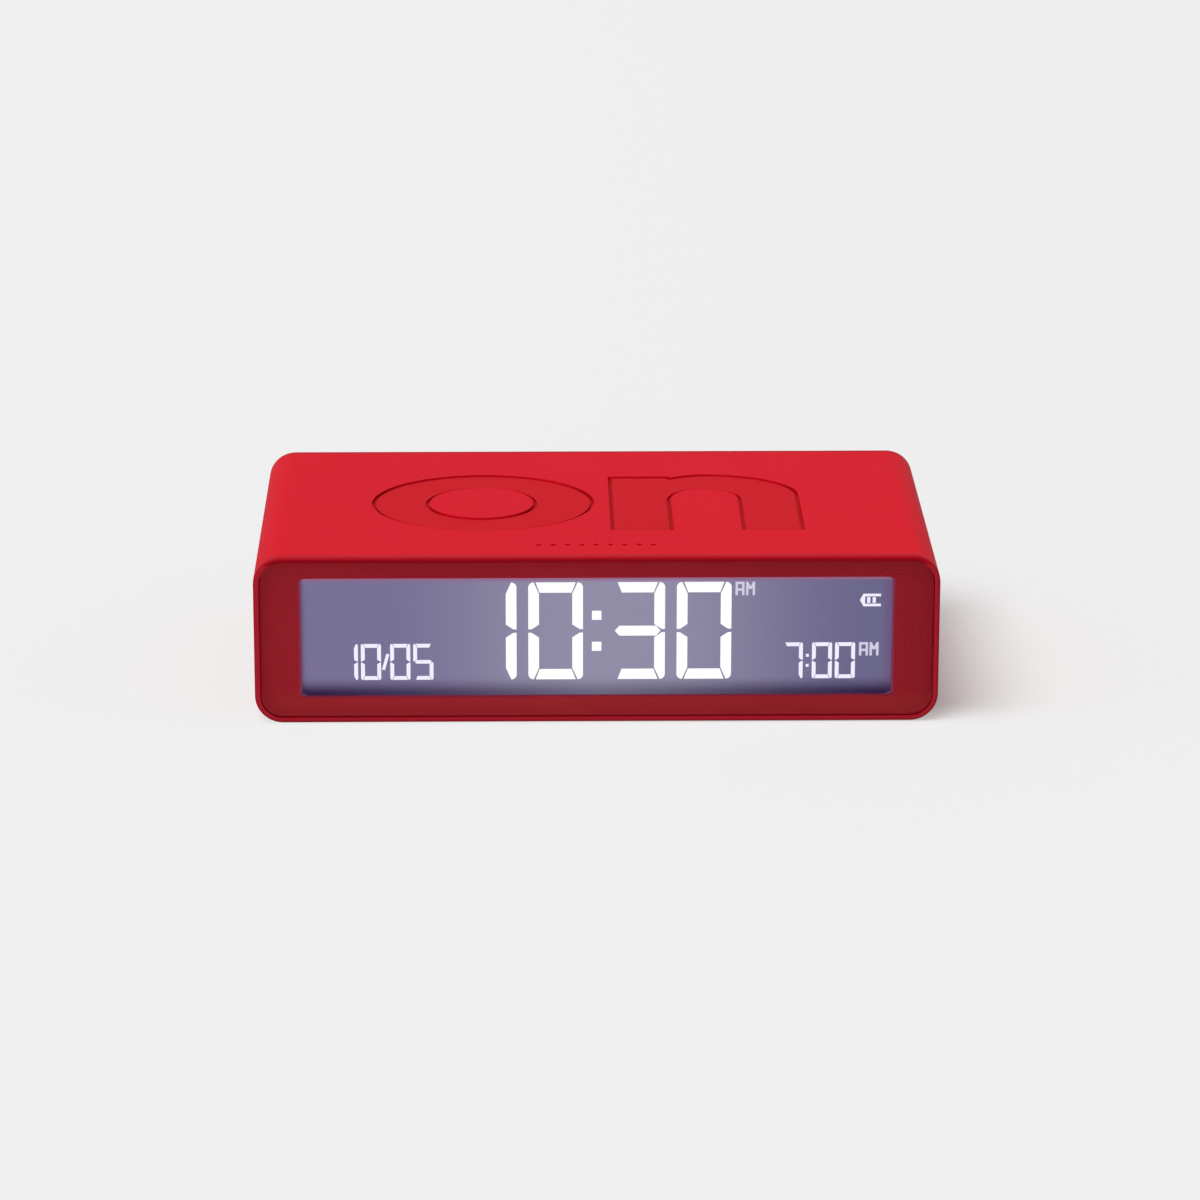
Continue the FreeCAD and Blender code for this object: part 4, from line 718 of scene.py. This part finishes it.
class CLOCK_OT_front(Operator):
    """Make the clear lens and finish the print and tape behind it"""

    bl_idname = "slab_clock.front"
    bl_label = "Lens and border"
    bl_options = {"REGISTER", "UNDO"}
    section = "front"

    def execute(self, context):
        settings = context.scene.slab_clock.front
        low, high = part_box("front_lens")
        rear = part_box("window_mask")[0].y - settings.lens_gap
        bevel = settings.lens_bevel
        knee = bevel * 0.3
        width = high.x - low.x
        height = high.z - low.z
        middle = (low.z + high.z) / 2
        rings = []
        for y, inset in ((rear, 0), (low.y + bevel, 0), (low.y + knee, knee), (low.y, bevel)):
            radius = settings.lens_radius - inset
            outline = rounded_outline(width - 2 * inset, height - 2 * inset, radius)
            rings.append([(x, y, middle + z) for x, z in outline])
        mesh = bmesh.new()
        skin(mesh, rings)
        lens = add_piece("clear_lens", mesh, clear_lens(), "clock")
        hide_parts("front_lens")
        dress(border_print(settings), "window_mask")
        foam = plastic("Foam tape", (0.012, 0.011, 0.013), 0.8, 0.4, 0.05)
        dress(foam, "lens_tape", "door_foam_pad")
        return {"FINISHED"}


class CLOCK_OT_display(Operator):
    """Light the display and finish its layers"""

    bl_idname = "slab_clock.display"
    bl_label = "Display"
    bl_options = {"REGISTER", "UNDO"}
    section = "display"

    def execute(self, context):
        settings = context.scene.slab_clock.display
        dress(glowing_film(settings), "lcd_front_polariser")
        dress(lit_strokes(settings), "lcd_segments")
        dress(display_glass(), "lcd_front_glass", "lcd_rear_glass", "lcd_rear_polariser")
        films = plastic("Optical film", (0.72, 0.72, 0.75), 0.35, 0.2, 0.004)
        dress(films, "diffuser_film", "reflector_film", "light_guide")
        dress(plastic("White plastic", (0.68, 0.68, 0.66)), "display_holder")
        dress(plastic("Lamp package", (0.8, 0.74, 0.4), 0.25, 0.5), "backlight_leds")
        rubber = striped("Contact rubber", (0.04, 0.04, 0.045), (0.5, 0.5, 0.52), 0.5, 0)
        dress(rubber, "zebra_strip")
        return {"FINISHED"}


class CLOCK_OT_back(Operator):
    """Finish the rear cover, the battery door, the buttons and the screws"""

    bl_idname = "slab_clock.back"
    bl_label = "Back"
    bl_options = {"REGISTER", "UNDO"}
    section = "back"

    def execute(self, context):
        settings = context.scene.slab_clock.back
        cover = plastic("Satin red plastic", settings.cover, 0.45, 0.35, 0.02)
        dress(cover, "rear_cover", "battery_door")
        dress(button_plastic(settings), *BUTTONS)
        dress(metal("Zinc steel", (0.6, 0.6, 0.62), 0.28), "rear_cover_screws", "holder_screws")
        steel = metal("Plain steel", (0.66, 0.66, 0.67), 0.2)
        dress(steel, "button_board_screws", "tilt_ball", "buzzer_disc")
        self.grip(settings, cover)
        return {"FINISHED"}

    def grip(self, settings, finish):
        """Raised bars across the door's thumb scoop, the outer two shorter and less deep."""
        low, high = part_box("battery_door")
        middle = (low.x + high.x) / 2
        thick = settings.grip_radius
        thin = thick / 10
        rise, taper = 0.13 * MM, 0.6 * MM
        mesh = bmesh.new()
        for step in (-1, 0, 1):
            depth = settings.grip_depth - abs(step) * rise
            reach = settings.grip_reach - abs(step) * taper
            shoulder = reach - thick / 2
            profile = [(-reach, thin), (-shoulder, thick), (shoulder, thick), (reach, thin)]
            height = high.z - settings.grip_drop + step * settings.grip_pitch
            lathe(mesh, profile, (middle, high.y - depth, height), 0, 12)
        add_piece("door_grip_bars", mesh, finish, "door", True)


class CLOCK_OT_cells(Operator):
    """Print the cells and finish their contacts"""

    bl_idname = "slab_clock.cells"
    bl_label = "Cells and contacts"
    bl_options = {"REGISTER", "UNDO"}
    section = "cells"

    def execute(self, context):
        settings = context.scene.slab_clock.cells
        for name, end, way in (("battery_cell_lower", 1, -1), ("battery_cell_upper", 0, 1)):
            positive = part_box(name)[end].x / MM
            dress(cell_jacket(name, settings, positive, way), name)
        nickel = metal("Nickel", (0.72, 0.7, 0.65), 0.18, 2)
        dress(nickel, "link_contact", "positive_contact", "negative_contact", "quartz_crystal")
        return {"FINISHED"}


class CLOCK_OT_electronics(Operator):
    """Finish the boards and what is on them"""

    bl_idname = "slab_clock.electronics"
    bl_label = "Boards, sounder and leads"
    bl_options = {"REGISTER", "UNDO"}
    section = "boards"

    def execute(self, context):
        mask = circuit_board(context.scene.slab_clock.boards)
        dress(mask, "display_board", "button_board")
        black = plastic("Black plastic", (0.014, 0.014, 0.015), 0.35)
        dress(black, "button_switches", "buzzer_case", "tilt_switch_case", "controller_chip")
        dress(plastic("Grey plastic", (0.22, 0.22, 0.23), 0.45), "buzzer_base", "tilt_switch_cap")
        ceramic = plastic("Fired ceramic", (0.3, 0.22, 0.15), 0.5, 0.2)
        dress(ceramic, "chip_resistors", "chip_capacitors")
        foil = metal("Copper foil", (0.78, 0.38, 0.22), 0.3, 0, 10.0)
        dress(foil, "touch_foil_upper", "touch_foil_lower")
        dress(metal("Copper wire", (0.7, 0.3, 0.14), 0.25, 2), "buzzer_coil")
        dress(metal("Brass", (0.75, 0.55, 0.25), 0.25), "tilt_switch_pins")
        dress(plastic("Red insulation", (0.6, 0.02, 0.02), 0.38, 0.5), "battery_lead_red")
        black_lead = plastic("Black insulation", (0.02, 0.02, 0.02), 0.38, 0.5)
        dress(black_lead, "battery_lead_black", "buzzer_leads")
        dress(striped("Ribbon", (0.5, 0.5, 0.52), (0.32, 0.32, 0.34), 1.0, 0), "ribbon_cable")
        return {"FINISHED"}


class CLOCK_OT_stage(Operator):
    """Set the floor, the light and the camera"""

    bl_idname = "slab_clock.stage"
    bl_label = "Stage"
    bl_options = {"REGISTER", "UNDO"}
    section = "stage"

    def execute(self, context):
        stage = context.scene.slab_clock.stage
        self.floor(stage)
        self.sky(stage)
        self.lamp(stage)
        self.camera(stage)
        bpy.context.scene.view_settings.view_transform = "Standard"
        return {"FINISHED"}

    def floor(self, stage):
        """A pale floor, clear from below and open under the clock, so that the underside shows."""
        finish = Finish("Floor")
        glow = finish.node("ShaderNodeEmission", {}, {"Color": stage.background})["Emission"]
        paint = finish.node("ShaderNodeBsdfDiffuse", {}, {"Color": stage.background})["BSDF"]
        dull_tint = lit(stage.background, stage.bounce)
        dull = finish.node("ShaderNodeBsdfDiffuse", {}, {"Color": dull_tint})["BSDF"]
        x, y, _ = finish.axes()
        before = finish.step(y, LOW.y - 1.0, LOW.y + 9.0, stage.front_side, 1.0)
        share = finish.step(x, LOW.x, HIGH.x, stage.lit_side, stage.shadow) * before
        shaded = finish.mixed_shader(share, glow, paint)
        upper = finish.mixed_shader(finish.seen(), dull, shaded)
        clear = finish.node("ShaderNodeBsdfTransparent", {}, {})["BSDF"]
        under = finish.node("ShaderNodeNewGeometry", {}, {})["Backfacing"]
        finish.end(finish.mixed_shader(under, upper, clear))
        foot = (HIGH.x * MM - stage.foot_side, HIGH.y * MM - stage.foot_end)
        mesh = bmesh.new()
        rings = []
        for reach_x, reach_y in ((stage.reach, stage.reach), foot):
            places = [(side * reach_x, way * reach_y, -stage.floor_gap) for side, way in CORNERS]
            rings.append([mesh.verts.new(place) for place in places])
        bridge(mesh, *rings)
        floor = new_object("floor", mesh, finish)

    def sky(self, stage):
        """Even light from all round, and a backdrop in the floor's colour."""
        world = bpy.data.worlds.new("Studio")
        world.use_nodes = True
        nodes = Nodes(world.node_tree)
        lighting = {"Color": (1, 1, 1), "Strength": stage.sky}
        light = nodes.node("ShaderNodeBackground", {}, lighting)["Background"]
        backdrop = nodes.node("ShaderNodeBackground", {}, {"Color": stage.background})["Background"]
        surface = nodes.mixed_shader(nodes.seen(), light, backdrop)
        nodes.node("ShaderNodeOutputWorld", {}, {"Surface": surface})
        bpy.context.scene.world = world

    def lamp(self, stage):
        """One soft lamp high on the left."""
        lamp = bpy.data.lights.new("lamp", "SUN")
        lamp.energy = stage.lamp
        lamp.angle = stage.lamp_spread
        holder = bpy.data.objects.new("lamp", lamp)
        holder.rotation_euler = (0, stage.lamp_height - math.pi / 2, stage.lamp_turn)
        bpy.context.scene.collection.objects.link(holder)

    def camera(self, stage):
        """A camera at the photograph's viewing angle."""
        lens = bpy.data.cameras.new("camera")
        lens.lens = stage.focal_length
        lens.sensor_width = SENSOR_WIDTH
        lens.clip_end = 50
        camera = bpy.data.objects.new("camera", lens)
        turn = Matrix.Rotation(stage.camera_turn, 4, "Z")
        fall = Matrix.Rotation(math.pi / 2 - stage.camera_fall, 4, "X")
        roll = Matrix.Rotation(stage.camera_roll, 4, "Z")
        camera.matrix_world = Matrix.Translation(stage.camera_place) @ turn @ fall @ roll
        bpy.context.scene.collection.objects.link(camera)
        bpy.context.scene.camera = camera


OPERATORS = (
    CLOCK_OT_sleeve,
    CLOCK_OT_front,
    CLOCK_OT_display,
    CLOCK_OT_back,
    CLOCK_OT_cells,
    CLOCK_OT_electronics,
    CLOCK_OT_stage,
)


class CLOCK_PT_panel(Panel):
    """Lists the clock's operators, each with its settings"""

    bl_idname = "CLOCK_PT_panel"
    bl_label = "Slab alarm clock"
    bl_space_type = "VIEW_3D"
    bl_region_type = "UI"
    bl_category = "Clock"

    def draw(self, context):
        for operator in OPERATORS:
            box = self.layout.box()
            box.operator(operator.bl_idname)
            group = getattr(context.scene.slab_clock, operator.section)
            for name in type(group).__annotations__:
                box.prop(group, name)


CLASSES = (
    SleeveSettings,
    FrontSettings,
    DisplaySettings,
    BackSettings,
    CellSettings,
    BoardSettings,
    StageSettings,
    ClockSettings,
    *OPERATORS,
    CLOCK_PT_panel,
)


def register():
    for kind in CLASSES:
        bpy.utils.register_class(kind)
    bpy.types.Scene.slab_clock = PointerProperty(type=ClockSettings)


def unregister():
    del bpy.types.Scene.slab_clock
    for kind in reversed(CLASSES):
        bpy.utils.unregister_class(kind)


def main():
    register()
    bpy.ops.slab_clock.sleeve()
    bpy.ops.slab_clock.front()
    bpy.ops.slab_clock.display()
    bpy.ops.slab_clock.back()
    bpy.ops.slab_clock.cells()
    bpy.ops.slab_clock.electronics()
    bpy.ops.slab_clock.stage()


if __name__ == "__main__":
    main()
